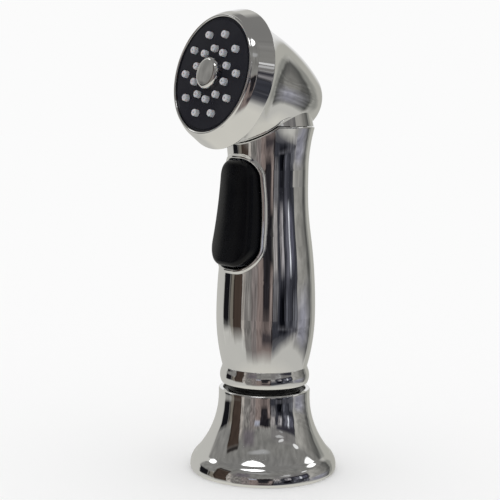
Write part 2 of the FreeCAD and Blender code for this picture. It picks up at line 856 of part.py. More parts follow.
def turned_bulb(body, name, shift, kind, before, after, **place):
    """Turn the bulb's outline, closed by the given corners before and after it, about the head axis."""
    sketch = new_sketch(body, f"{name}_outline", **place)
    corners = before + bulb_outline(shift) + after
    edges = draw_outline(sketch, corners)
    ball_edge = edges[len(before) + 1]
    if shift.value == 0:
        sketch.addConstraint(Sketcher.Constraint("PointOnObject", ball_edge, 3, -2))
    else:
        index = sketch.addConstraint(
            Sketcher.Constraint("DistanceX", -1, 1, ball_edge, 3, shift.value))
        bind(sketch, f"Constraints[{index}]", shift)
    made = feature(body, kind, name, sketch)
    made.ReferenceAxis = (sketch, ["V_Axis"])
    made.Angle = 360
    return made


def make_handle_shell():
    body = new_body("handle_shell")
    turned(body, "outside", [Corner(ZERO, d.handle_foot_height)] + handle_side(ZERO)
           + [Corner(ZERO, d.handle_top_height)])
    rim = new_sketch(body, "rim_outline", "XZ_Plane")
    draw_outline(rim, window_outline(-d.window_rim_width))
    pad(body, "rim", rim, d.belly_radius * 1.5)
    far = d.belly_radius * 2
    turned(body, "rim_face", handle_side(d.window_rim_height)
           + [Corner(far, d.handle_top_height), Corner(far, d.handle_foot_height)], kind="Groove")
    wall = d.handle_wall
    sleeve = d.collar_sleeve_radius + d.slip_fit
    bore = d.waist_radius - wall
    turned(body, "bore", polygon([
        (ZERO, d.handle_foot_height),
        (sleeve, d.handle_foot_height),
        (sleeve, d.handle_sleeve_height),
        (d.belly_radius - wall - wall / 4, d.belly_height - wall * 2),
        (d.belly_radius - wall - wall / 4, d.belly_height + wall * 3),
        (bore, d.waist_height - wall * 4),
        (bore, d.window_top_height),
        (d.handle_throat_radius, d.handle_top_height),
        (ZERO, d.handle_top_height)]), kind="Groove")
    window = new_sketch(body, "window_outline", "XZ_Plane")
    draw_outline(window, window_outline(ZERO))
    pocket(body, "window", window, d.belly_radius * 1.5, flip=True)
    fillet(body, "rim_round", d.window_rim_round, is_rim_edge)
    lip = d.head_reach
    turned_bulb(body, "saddle", d.seam_gap, "Groove",
                [Corner(ZERO, lip), Corner(ZERO, d.head_reach - d.bulb_end_depth
                                           - d.bulb_end_radius)],
                [Corner(d.bulb_front_radius + d.seam_gap, lip)],
                role="YZ_Plane", origin=(0, d.head_height, 0), turn=as_size(90) - d.head_tilt)
    fillet(body, "top_round", d.handle_top_round, is_top_edge)
    return body


def is_top_edge(edge):
    """The outer edge of the handle's top, round the shoulder and under the head."""
    start, end = edge.ParameterRange
    point = edge.valueAt((start + end) / 2)
    if edge.BoundBox.ZMin < d.window_top_height.value + d.window_rim_width.value:
        return False
    return abs(math.hypot(point.x, point.y) - handle_radius_at(point.z)) < d.running_fit.value


def is_rim_edge(edge):
    """The two edges round the raised rim's face stand proud of the handle's own side."""
    box = edge.BoundBox
    margin = d.window_rim_width.value * 2
    low = d.window_bottom_height.value - margin
    high = d.window_top_height.value + margin
    if box.YMin > 0 or box.ZMin < low or box.ZMax > high:
        return False
    start, end = edge.ParameterRange
    point = edge.valueAt((start + end) / 2)
    if point.y > 0:
        return False
    return math.hypot(point.x, point.y) > handle_radius_at(point.z) + d.window_rim_height.value / 2


def handle_radius_at(height):
    """The handle's outside radius at a height between its belly and its top."""
    rise = d.waist_height.value - d.belly_height.value
    run = d.belly_radius.value - d.waist_radius.value
    both = (rise ** 2 + run ** 2) / (2 * run)
    belly_curve = both - d.waist_curve.value
    bend = d.waist_height.value - d.waist_curve.value * rise / both
    flare_low = d.waist_height.value + d.waist_length.value
    if height < bend:
        drop = height - d.belly_height.value
        return d.belly_radius.value - belly_curve + math.sqrt(belly_curve ** 2 - drop ** 2)
    if height < d.waist_height.value:
        climb = d.waist_height.value - height
        curve = d.waist_curve.value
        return d.waist_radius.value + curve - math.sqrt(curve ** 2 - climb ** 2)
    if height < flare_low:
        return d.waist_radius.value
    flare_rise = d.handle_top_height.value - flare_low
    flare_run = d.handle_top_radius.value - d.waist_radius.value
    curve = (flare_rise ** 2 + flare_run ** 2) / (2 * flare_run)
    return d.waist_radius.value + curve - math.sqrt(curve ** 2 - (height - flare_low) ** 2)


# Waterway body: the moulded core of the handle, from the swivel socket past the check valve and the
# trigger valve to the elbow, with the two ears that hold the trigger's pin.

def make_waterway_body():
    body = new_body("waterway_body")
    foot = d.collar_step_height
    turned(body, "foot", polygon([
        (ZERO, foot), (d.waterway_foot_radius, foot),
        (d.waterway_foot_radius, d.collar_sleeve_height),
        (d.waterway_boss_radius, d.collar_sleeve_height),
        (d.waterway_boss_radius, d.waterway_boss_height), (ZERO, d.waterway_boss_height)]))
    column = new_sketch(body, "column_outline", "XY_Plane", origin=(0, 0, d.collar_sleeve_height))
    draw_circle(column, 0, d.column_centre, d.column_radius)
    pad(body, "column", column, d.column_height - d.collar_sleeve_height)
    block = new_sketch(body, "block_outline", "XZ_Plane", origin=(0, 0, -d.valve_block_back))
    draw_circle(block, 0, d.valve_height, d.valve_block_radius)
    pad(body, "block", block, d.valve_block_back + d.valve_block_front)
    ear = new_sketch(body, "ear_outline", "YZ_Plane")
    ear_low = d.pivot_height - d.pivot_ear_radius
    ear_high = d.pivot_height + d.pivot_ear_radius
    draw_outline(ear, [
        Corner(d.column_centre, ear_low),
        Corner(d.column_centre, ear_high),
        Corner(-d.pivot_depth, ear_high),
        Corner(-d.pivot_depth - d.pivot_ear_radius, d.pivot_height, d.pivot_ear_radius),
        Corner(-d.pivot_depth, ear_low, d.pivot_ear_radius),
    ])
    pad(body, "ears", ear, d.pivot_ear_half_width * 2, middle=True)
    slot = new_sketch(body, "slot_outline", "YZ_Plane")
    slot_back = d.pivot_hub_radius + d.seat_gap - d.pivot_depth
    slot_low = d.pivot_height - d.pivot_ear_radius * 2
    slot_high = d.pivot_height + d.pivot_ear_radius * 2
    draw_outline(slot, polygon([
        (-d.pivot_depth * 2, slot_low), (slot_back, slot_low),
        (slot_back, slot_high), (-d.pivot_depth * 2, slot_high)]))
    pocket(body, "slot", slot, (d.pivot_hub_half_width + d.seam_gap) * 2, middle=True)
    pin = new_sketch(body, "pin_hole_outline", "YZ_Plane")
    draw_circle(pin, -d.pivot_depth, d.pivot_height, d.pivot_pin_radius + d.running_fit)
    pocket(body, "pin_hole", pin, d.pivot_ear_half_width * 3, middle=True)
    socket = d.tail_spigot_radius + d.running_fit
    guide_bore = d.poppet_stem_radius + d.slip_fit
    guide_top = d.check_chamber_height + d.poppet_guide_depth
    turned(body, "lower_bores", polygon([
        (ZERO, foot), (socket, foot), (socket, d.socket_top_height),
        (d.check_chamber_radius, d.socket_top_height),
        (d.check_chamber_radius, d.check_chamber_height),
        (guide_bore, d.check_chamber_height), (guide_bore, guide_top), (ZERO, guide_top)]),
        kind="Groove")
    riser_low = d.check_chamber_height - d.riser_in_radius
    riser = new_sketch(body, "riser_in_outline", "XY_Plane", origin=(0, 0, riser_low))
    draw_circle(riser, 0, d.riser_in_centre, d.riser_in_radius)
    pocket(body, "riser_in", riser, d.valve_height - riser_low, flip=True)
    turned(body, "valve_bores", polygon([
        (ZERO, -d.valve_block_front - d.slip_fit),
        (d.packing_nut_radius + d.slip_fit, -d.valve_block_front - d.slip_fit),
        (d.packing_nut_radius + d.slip_fit, -d.gland_front),
        (d.gland_radius, -d.gland_front),
        (d.gland_radius, -d.gland_back),
        (d.valve_throat_radius, -d.gland_back),
        (d.valve_throat_radius, d.valve_seat_place),
        (d.valve_chamber_radius, d.valve_seat_place),
        (d.valve_chamber_radius, d.valve_block_back - d.plug_length),
        (d.plug_radius + d.slip_fit, d.valve_block_back - d.plug_length),
        (d.plug_radius + d.slip_fit, d.valve_block_back + d.slip_fit),
        (ZERO, d.valve_block_back + d.slip_fit)]),
        kind="Groove", role="YZ_Plane", origin=(0, d.valve_height, 0), turn=as_size(-90))
    outlet = new_sketch(body, "riser_out_outline", "XY_Plane", origin=(0, 0, d.valve_height))
    draw_circle(outlet, 0, d.riser_out_centre, d.riser_out_radius)
    pocket(body, "riser_out", outlet, d.column_height - d.valve_height, flip=True)
    top = new_sketch(body, "elbow_socket_outline", "XY_Plane", origin=(0, 0, d.column_height))
    draw_circle(top, 0, d.riser_out_centre, d.elbow_socket_radius)
    pocket(body, "elbow_socket", top, d.elbow_socket_depth)
    return body


# Check valve: a seat ring pressed in above the swivel, a poppet that lifts off it, and its spring.

def check_seat_top():
    return d.socket_top_height + d.check_seat_neck


def make_check_seat():
    body = new_body("check_seat")
    low = d.socket_top_height - d.check_seat_flange
    turned(body, "ring", polygon([
        (d.check_seat_bore, low), (d.tail_spigot_radius, low),
        (d.tail_spigot_radius, d.socket_top_height),
        (d.check_chamber_radius - d.running_fit, d.socket_top_height),
        (d.check_chamber_radius - d.running_fit, check_seat_top()),
        (d.check_seat_bore, check_seat_top())]))
    return body


def make_check_poppet():
    body = new_body("check_poppet")
    low = check_seat_top() + d.slip_fit
    disc_top = low + d.poppet_thickness
    stem_top = d.check_chamber_height + d.poppet_stem_engagement
    turned(body, "disc", polygon([
        (ZERO, low), (d.poppet_radius, low), (d.poppet_radius, disc_top),
        (d.poppet_stem_radius, disc_top), (d.poppet_stem_radius, stem_top), (ZERO, stem_top)]))
    return body


def make_check_spring():
    low = check_seat_top() + d.slip_fit + d.poppet_thickness + d.slip_fit
    return coil("check_spring", d.check_spring_radius, low, d.check_chamber_height - d.slip_fit,
                d.spring_wire, 5)


# Trigger valve. Each piece is made about its own Z axis, which then points to the handle's back.

def make_packing_nut():
    body = new_body("packing_nut")
    front = -d.valve_block_front
    bore = d.stem_radius + d.running_fit
    turned(body, "nut", polygon([
        (bore, front), (d.packing_nut_radius, front),
        (d.packing_nut_radius, -d.gland_front), (bore, -d.gland_front)]))
    slot = new_sketch(body, "slot_outline", "XY_Plane", origin=(0, 0, front))
    side = d.packing_nut_radius * 2
    half = d.packing_nut_slot / 2
    draw_outline(slot, polygon([(-side, -half), (side, -half), (side, half), (-side, half)]))
    pocket(body, "slot", slot, half, flip=True)
    put_on_valve_axis(body)
    return body


def make_stem_oring():
    body = new_body("stem_oring")
    wire = (d.gland_radius - d.stem_radius) / 2
    middle = (d.gland_front + d.gland_back) / 2
    ring_of_wire(body, "ring", d.stem_radius + wire, -middle, wire)
    put_on_valve_axis(body)
    return body


def stem_disc_place():
    return d.valve_seat_place + d.washer_thickness + d.slip_fit


def make_valve_stem():
    body = new_body("valve_stem")
    tip = d.stem_tip_gap - d.lever_nose
    dome = d.stem_tip_curve - root(d.stem_tip_curve * d.stem_tip_curve
                                   - d.stem_radius * d.stem_radius)
    disc = stem_disc_place()
    disc_back = disc + d.stem_disc_thickness
    turned(body, "stem", [
        Corner(ZERO, tip),
        Corner(d.stem_radius, tip + dome, d.stem_tip_curve),
        Corner(d.stem_radius, disc),
        Corner(d.stem_disc_radius, disc),
        Corner(d.stem_disc_radius, disc_back),
        Corner(d.stem_tail_radius, disc_back),
        Corner(d.stem_tail_radius, disc_back + d.stem_tail_length),
        Corner(ZERO, disc_back + d.stem_tail_length),
    ])
    put_on_valve_axis(body)
    return body


def make_seat_washer():
    body = new_body("seat_washer")
    front = d.valve_seat_place + d.slip_fit
    turned(body, "washer", polygon([
        (d.stem_radius + d.running_fit, front), (d.stem_disc_radius, front),
        (d.stem_disc_radius, stem_disc_place()),
        (d.stem_radius + d.running_fit, stem_disc_place())]))
    put_on_valve_axis(body)
    return body


def make_valve_spring():
    low = stem_disc_place() + d.stem_disc_thickness + d.running_fit
    high = d.valve_block_back - d.plug_length - d.running_fit
    body = coil("valve_spring", d.valve_spring_radius, low, high, d.spring_wire, 2.5)
    put_on_valve_axis(body)
    return body


def make_valve_plug():
    body = new_body("valve_plug")
    front = d.valve_block_back - d.plug_length
    guide = d.stem_tail_radius + d.running_fit
    turned(body, "plug", polygon([
        (guide, front), (d.plug_radius, front), (d.plug_radius, d.valve_block_back),
        (ZERO, d.valve_block_back), (ZERO, d.valve_block_back - d.seat_gap),
        (guide, d.valve_block_back - d.seat_gap)]))
    put_on_valve_axis(body)
    return body


# Trigger: the pin across the ears, the rigid lever that pushes the stem and the soft pad on it.

def make_trigger_pin():
    body = new_body("trigger_pin")
    sketch = new_sketch(body, "outline", "YZ_Plane")
    draw_circle(sketch, -d.pivot_depth, d.pivot_height, d.pivot_pin_radius)
    pad(body, "pin", sketch, d.pivot_ear_half_width * 2, middle=True)
    return body


def make_trigger_lever():
    body = new_body("trigger_lever")
    plate = new_sketch(body, "plate_outline", "XZ_Plane", origin=(0, 0, d.lever_back))
    draw_outline(plate, window_outline(d.lever_inset))
    pad(body, "plate", plate, d.lever_front - d.lever_back)
    relief = new_sketch(body, "ear_relief_outline", "YZ_Plane")
    draw_circle(relief, -d.pivot_depth, d.pivot_height, d.pivot_ear_radius + d.seat_gap)
    pocket(body, "ear_relief", relief, (d.pivot_ear_half_width + d.seat_gap) * 2, middle=True)
    hub = new_sketch(body, "hub_outline", "YZ_Plane")
    draw_circle(hub, -d.pivot_depth, d.pivot_height, d.pivot_hub_radius)
    pad(body, "hub", hub, d.pivot_hub_half_width * 2, middle=True)
    nose = new_sketch(body, "nose_outline", "XZ_Plane", origin=(0, 0, d.lever_nose))
    draw_circle(nose, 0, d.valve_height, d.lever_nose_radius)
    pad(body, "nose", nose, d.lever_front - d.lever_nose)
    hole = new_sketch(body, "pin_hole_outline", "YZ_Plane")
    draw_circle(hole, -d.pivot_depth, d.pivot_height, d.pivot_pin_radius + d.running_fit)
    pocket(body, "pin_hole", hole, d.pivot_hub_half_width * 3, middle=True)
    return body


def make_trigger_pad():
    body = new_body("trigger_pad")
    outline = new_sketch(body, "outline", "XZ_Plane", origin=(0, 0, d.pad_back))
    gap = d.pad_gap
    draw_outline(outline, window_outline(gap, bottom_inset=d.pad_bottom_gap))
    pad(body, "block", outline, d.belly_radius)
    crown = d.pad_crown_centre
    low = d.window_bottom_height
    top = d.window_top_height + gap
    face_curve = upright_tangent_radius(top - low, d.pad_bottom_front - d.pad_top_front)
    turned(body, "crown", [
        Corner(crown + d.pad_bottom_front, low, face_curve, turn=1),
        Corner(crown + d.belly_radius * 2, low),
        Corner(crown + d.belly_radius * 2, top),
        Corner(crown + d.pad_top_front, top),
    ], kind="Groove", origin=(0, 0, -crown))
    seat = new_sketch(body, "seat_outline", "XZ_Plane", origin=(0, 0, d.pad_back))
    draw_outline(seat, window_outline(d.lever_inset - d.running_fit))
    pocket(body, "seat", seat, d.lever_front + d.running_fit - d.pad_back, flip=True)
    relief = new_sketch(body, "hub_relief_outline", "YZ_Plane")
    draw_circle(relief, -d.pivot_depth, d.pivot_height, d.pivot_hub_radius + d.seat_gap)
    pocket(body, "hub_relief", relief, (d.pivot_ear_half_width + d.seat_gap) * 2, middle=True)
    fillet(body, "edge_round", d.pad_edge_round, is_pad_edge)
    return body


def is_pad_edge(edge):
    """The curved edges round the pad's front face, ahead of the lever."""
    start, end = edge.ParameterRange
    point = edge.valueAt((start + end) / 2)
    return not isinstance(edge.Curve, Part.Line) and point.y < -d.lever_front.value - d.pad_gap.value


# Head housing: the chrome bulb with the short neck that stands on the handle.

def make_head_housing():
    body = new_body("head_housing")
    front = d.head_reach - d.ring_back_depth
    spigot_front = d.head_reach - d.bulb_spigot_depth
    spigot_radius = d.ring_thread_radius - d.slip_fit
    rear = d.head_reach - d.bulb_end_depth - d.bulb_end_radius
    turned_bulb(body, "bulb", ZERO, "Revolution", [],
                [Corner(spigot_radius, front), Corner(spigot_radius, spigot_front),
                 Corner(ZERO, spigot_front)], role="XZ_Plane")
    lean = as_size(-90) + d.head_tilt
    seam = d.handle_top_height + d.seam_gap - d.head_height
    spigot_low = d.neck_spigot_height - d.head_height
    neck_top = d.neck_top_height - d.head_height
    turned(body, "neck", polygon([
        (ZERO, spigot_low), (d.neck_spigot_radius, spigot_low), (d.neck_spigot_radius, seam),
        (d.neck_radius, seam), (d.neck_top_radius, neck_top), (ZERO, neck_top)]),
        role="YZ_Plane", turn=lean)
    wall = d.bulb_wall
    ball = d.head_reach - d.bulb_end_depth
    turned(body, "chamber", polygon([
        (ZERO, rear + wall * 1.2),
        (d.bulb_end_radius - wall * 1.5, rear + wall * 1.2),
        (d.bulb_end_radius - wall, ball),
        (d.bulb_bend_radius - wall, d.head_reach - d.bulb_bend_depth),
        (d.ring_thread_radius - wall * 0.7, front),
        (d.ring_thread_radius - wall * 0.7, spigot_front),
        (ZERO, spigot_front)]), kind="Groove")
    turned(body, "throat", polygon([
        (ZERO, spigot_low), (d.neck_bore_radius, spigot_low),
        (d.neck_bore_radius, -d.elbow_barrel_radius), (ZERO, -d.elbow_barrel_radius)]),
        kind="Groove", role="YZ_Plane", turn=lean)
    put_on_head_axis(body)
    return body


# Face ring: the wide chrome band that screws on the head and holds the spray face.

def make_face_ring():
    body = new_body("face_ring")
    lip = d.head_reach
    back = lip - d.ring_back_depth + d.seam_gap / 2
    shoulder = lip - d.ring_shoulder_depth
    turned(body, "band", [
        Corner(d.ring_bore_radius, lip - d.ring_bore_depth),
        Corner(d.ring_thread_radius, lip - d.ring_bore_depth),
        Corner(d.ring_thread_radius, back),
        Corner(d.ring_back_radius - d.ring_back_bevel, back),
        Corner(d.ring_back_radius, back + d.ring_back_bevel, d.ring_back_bevel),
        Corner(d.ring_shoulder_radius, shoulder),
        Corner(d.lip_radius, lip - d.lip_round, d.ring_shoulder_depth * 4),
        Corner(d.lip_front_radius, lip, d.lip_round),
        Corner(d.ring_bore_radius, lip - d.face_depth / 2),
    ])
    put_on_head_axis(body)
    return body


# Spray face: the black plate with a nozzle hole for each nub of the silicone mat behind it.

NOZZLE_RINGS = (("inner", "YZ_Plane"), ("outer", "XZ_Plane"))


def nozzle_place(name):
    """Where the first nozzle of a ring stands: the inner ring starts at the top, the outer ring at
    the side, half a step from the inner one's."""
    if name == "inner":
        return ZERO, d.nozzle_inner_ring
    return d.nozzle_outer_ring, ZERO


def make_face_plate():
    body = new_body("face_plate")
    lip = d.head_reach
    front = lip - d.face_depth
    back = lip - d.face_back_depth
    flange_front = lip - d.ring_bore_depth - d.running_fit
    recess = d.cap_spigot_radius + d.slip_fit
    turned(body, "disc", polygon([
        (d.screw_radius + d.slip_fit, back),
        (d.face_flange_radius, back),
        (d.face_flange_radius, flange_front),
        (d.face_radius, flange_front),
        (d.face_radius, front - d.face_edge_step),
        (d.face_edge_radius, front - d.face_edge_step),
        (d.face_edge_radius - d.face_edge_step / 2, front),
        (recess, front),
        (recess, front - d.cap_recess_depth),
        (d.screw_radius + d.slip_fit, front - d.cap_recess_depth)]))
    for name, _ in NOZZLE_RINGS:
        x, y = nozzle_place(name)
        sketch = new_sketch(body, f"{name}_hole_outline", "XY_Plane", origin=(0, 0, back))
        draw_circle(sketch, x, y, d.nozzle_root_radius + d.running_fit)
        hole = pocket(body, f"{name}_hole", sketch, d.face_back_depth, flip=True)
        polar(body, f"{name}_holes", [hole], d.nozzle_count)
    put_on_head_axis(body)
    return body


def make_nozzle_mat():
    body = new_body("nozzle_mat")
    lip = d.head_reach
    front = lip - d.face_back_depth - d.running_fit
    back = front - d.mat_thickness
    tip = lip + d.nozzle_reach
    turned(body, "sheet", polygon([
        (d.mat_bore_radius, back), (d.mat_radius, back),
        (d.mat_radius, front), (d.mat_bore_radius, front)]))
    for name, role in NOZZLE_RINGS:
        x, y = nozzle_place(name)
        sketch = new_sketch(body, f"{name}_nub_outline", role, origin=(x + y, 0, 0))
        draw_outline(sketch, polygon([
            (d.nozzle_orifice, back), (d.nozzle_root_radius, back), (d.nozzle_root_radius, front),
            (d.nozzle_tip_radius + d.nozzle_bevel / 3, tip - d.nozzle_bevel),
            (d.nozzle_tip_radius - d.nozzle_bevel, tip), (d.nozzle_orifice, tip)]))
        nub = feature(body, "Revolution", f"{name}_nub", sketch)
        nub.ReferenceAxis = (sketch, ["V_Axis"])
        nub.Angle = 360
        hole_sketch = new_sketch(body, f"{name}_orifice_outline", "XY_Plane", origin=(0, 0, back))
        draw_circle(hole_sketch, x, y, d.nozzle_orifice)
        hole = pocket(body, f"{name}_orifice", hole_sketch, d.mat_thickness, flip=True)
        polar(body, f"{name}_nubs", [nub, hole], d.nozzle_count)
    put_on_head_axis(body)
    return body


def make_distributor():
    body = new_body("distributor")
    front = d.head_reach - d.face_back_depth - d.running_fit * 2 - d.mat_thickness
    back = front - d.distributor_thickness
    stub_back = back - d.stub_length
    post = d.mat_bore_radius - d.slip_fit
    face = d.head_reach - d.face_back_depth - d.running_fit
    groove = back - d.stub_groove_place
    turned(body, "plate", polygon([
        (d.screw_radius + d.running_fit, back + d.plenum_depth),
        (ZERO, back + d.plenum_depth),
        (ZERO, back),
        (d.stub_bore_radius, back),
        (d.stub_bore_radius, stub_back),
        (d.stub_radius, stub_back),
        (d.stub_radius, groove - d.stub_ring_radius),
        (d.stub_radius - d.stub_ring_radius * 1.6, groove - d.stub_ring_radius),
        (d.stub_radius - d.stub_ring_radius * 1.6, groove + d.stub_ring_radius),
        (d.stub_radius, groove + d.stub_ring_radius),
        (d.stub_radius, back),
        (d.distributor_radius, back),
        (d.distributor_radius, front),
        (d.plenum_radius, front),
        (d.plenum_radius, front - d.plenum_depth),
        (post, front - d.plenum_depth),
        (post, face),
        (d.screw_radius + d.running_fit, face)]))
    sketch = new_sketch(body, "port_outline", "XY_Plane", origin=(0, 0, back))
    draw_circle(sketch, d.port_ring, 0, d.port_radius)
    port = pocket(body, "port", sketch, d.distributor_thickness, flip=True)
    polar(body, "ports", [port], d.port_count)
    put_on_head_axis(body)
    return body


def make_distributor_seal():
    body = new_body("distributor_seal")
    back = (d.head_reach - d.face_back_depth - d.running_fit * 2 - d.mat_thickness
            - d.distributor_thickness)
    centre_radius = d.stub_radius + d.running_fit - d.stub_ring_radius
    ring_of_wire(body, "ring", centre_radius, back - d.stub_groove_place,
                 d.stub_ring_radius - d.running_fit)
    put_on_head_axis(body)
    return body


def make_face_screw():
    body = new_body("face_screw")
    seat = d.head_reach - d.face_depth - d.cap_recess_depth + d.running_fit
    turned(body, "screw", polygon([
        (ZERO, seat - d.screw_length), (d.screw_radius, seat - d.screw_length),
        (d.screw_radius, seat), (d.screw_head_radius, seat),
        (d.screw_head_radius, seat + d.screw_head_height),
        (ZERO, seat + d.screw_head_height)]))
    put_on_head_axis(body)
    return body


def make_centre_cap():
    body = new_body("centre_cap")
    seat = d.head_reach - d.face_depth + d.running_fit
    top = seat + d.cap_height
    inside = d.cap_spigot_radius - d.cap_wall
    flat = d.cap_radius - d.cap_edge_round
    drop = d.cap_dome_curve - root(d.cap_dome_curve * d.cap_dome_curve - flat * flat)
    turned(body, "cap", [
        Corner(inside, seat - d.cap_recess_depth + d.slip_fit),
        Corner(d.cap_spigot_radius, seat - d.cap_recess_depth + d.slip_fit),
        Corner(d.cap_spigot_radius, seat),
        Corner(d.cap_radius, seat),
        Corner(d.cap_radius, top - drop - d.cap_edge_round),
        Corner(flat, top - drop, d.cap_edge_round),
        Corner(ZERO, top, d.cap_dome_curve),
        Corner(ZERO, top - d.cap_wall),
        Corner(inside, top - d.cap_wall - drop),
    ])
    put_on_head_axis(body)
    return body


# Outlet elbow: carries the water from the top of the handle to the stub of the distributor.

def make_outlet_elbow():
    body = new_body("outlet_elbow")
    stub_front = (d.head_reach - d.face_back_depth - d.running_fit * 2 - d.mat_thickness
                  - d.distributor_thickness)
    barrel_front = stub_front - d.seat_gap
    socket_back = stub_front - d.stub_length - d.seat_gap
    lean = as_size(-90) + d.head_tilt
    leg_low = d.column_height - d.head_height
    spigot_low = leg_low - d.elbow_socket_depth + d.slip_fit
    spigot_radius = d.elbow_socket_radius - d.running_fit
    back = -d.elbow_barrel_back
    turned(body, "barrel", polygon([
        (ZERO, back), (d.elbow_barrel_radius - d.handle_wall, back),
        (d.elbow_barrel_radius, back + d.handle_wall),
        (d.elbow_barrel_radius, barrel_front), (ZERO, barrel_front)]))
    place = dict(role="YZ_Plane", origin=(d.riser_out_centre * cosine(lean),
                                          d.riser_out_centre * sine(lean), 0), turn=lean)
    turned(body, "leg", polygon([
        (ZERO, spigot_low), (spigot_radius, spigot_low), (spigot_radius, leg_low),
        (d.elbow_leg_radius, leg_low), (d.elbow_leg_radius, ZERO), (ZERO, ZERO)]), **place)
    turned(body, "duct", polygon([
        (ZERO, -d.elbow_duct_back), (d.elbow_duct_radius, -d.elbow_duct_back),
        (d.elbow_duct_radius, socket_back), (d.stub_radius + d.slip_fit, socket_back),
        (d.stub_radius + d.slip_fit, barrel_front), (ZERO, barrel_front)]), kind="Groove")
    turned(body, "leg_bore", polygon([
        (ZERO, spigot_low), (d.riser_out_radius, spigot_low), (d.riser_out_radius, ZERO),
        (ZERO, ZERO)]), kind="Groove", **place)
    put_on_head_axis(body)
    return body


MAKERS = [
    make_deck_flange, make_deck_gasket, make_holder_guide,
    make_swivel_tail, make_swivel_orings, make_retaining_clip, make_inlet_screen,
    make_base_collar, make_handle_shell, make_waterway_body,
    make_check_seat, make_check_poppet, make_check_spring,
    make_packing_nut, make_stem_oring, make_valve_stem, make_seat_washer, make_valve_spring,
    make_valve_plug, make_trigger_pin, make_trigger_lever, make_trigger_pad,
    make_head_housing, make_face_ring, make_face_plate, make_nozzle_mat, make_distributor,
    make_distributor_seal, make_face_screw, make_centre_cap, make_outlet_elbow,
]

bodies = [make() for make in MAKERS]
doc.recompute()

failed = [item.Name for item in doc.Objects if "Invalid" in item.State or "Error" in item.State]
if failed:
    raise RuntimeError(f"These features failed: {', '.join(failed)}")

# Every cut must take something away, and every addition must add something
idle = []
for item in doc.Objects:
    if item.TypeId in ("PartDesign::Pocket", "PartDesign::Groove"):
        if item.Shape.Volume > item.BaseFeature.Shape.Volume - SMALLEST_CHANGE:
            idle.append(item.Name)
    if item.TypeId in ("PartDesign::Pad", "PartDesign::Revolution") and item.BaseFeature:
        if item.Shape.Volume < item.BaseFeature.Shape.Volume + SMALLEST_CHANGE:
            idle.append(item.Name)
if idle:
    raise RuntimeError(f"These features change nothing: {', '.join(idle)}")

os.makedirs("parts", exist_ok=True)
for body in bodies:
    shape = body.Shape
    if shape.isNull() or not shape.isValid() or shape.Volume <= 0:
        raise RuntimeError(f"{body.Label} has no valid shape")
    shape.exportStep(f"parts/{body.Label}.step")
    print(f"{body.Label:18s} solids {len(shape.Solids)} volume {shape.Volume:9.1f}")
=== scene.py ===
"""A chrome hand spray that stands in a bell shaped holder on the sink deck.

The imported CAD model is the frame. Lengths here are metres, or millimetres where a value is taken
times MM, in the model's own axes: +Z up, the spray face looks along -Y and the deck is z = 0. The
sections follow the spray as it is put together, from the deck upwards. The floor, the room and the
camera come last.
"""

import math

import bpy
import numpy as np
from mathutils import Matrix


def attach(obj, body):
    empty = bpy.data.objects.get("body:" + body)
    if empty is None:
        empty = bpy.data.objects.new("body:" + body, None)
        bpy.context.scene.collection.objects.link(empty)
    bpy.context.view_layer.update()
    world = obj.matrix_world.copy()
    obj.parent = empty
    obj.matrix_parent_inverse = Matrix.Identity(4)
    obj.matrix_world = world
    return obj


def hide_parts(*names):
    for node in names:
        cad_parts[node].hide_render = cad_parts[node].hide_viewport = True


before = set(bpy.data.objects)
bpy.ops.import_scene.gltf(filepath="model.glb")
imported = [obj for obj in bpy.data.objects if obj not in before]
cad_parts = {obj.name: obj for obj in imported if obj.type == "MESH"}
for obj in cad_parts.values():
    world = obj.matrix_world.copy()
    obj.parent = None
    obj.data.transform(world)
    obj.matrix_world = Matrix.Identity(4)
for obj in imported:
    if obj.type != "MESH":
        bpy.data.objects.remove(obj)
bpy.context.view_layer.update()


# Deck gasket: a flat ring punched from sheet rubber. It lies in the foot of the bell, flush with
# the deck, and only its underside shows. It is dull, with the grain of the cloth it was cured on.

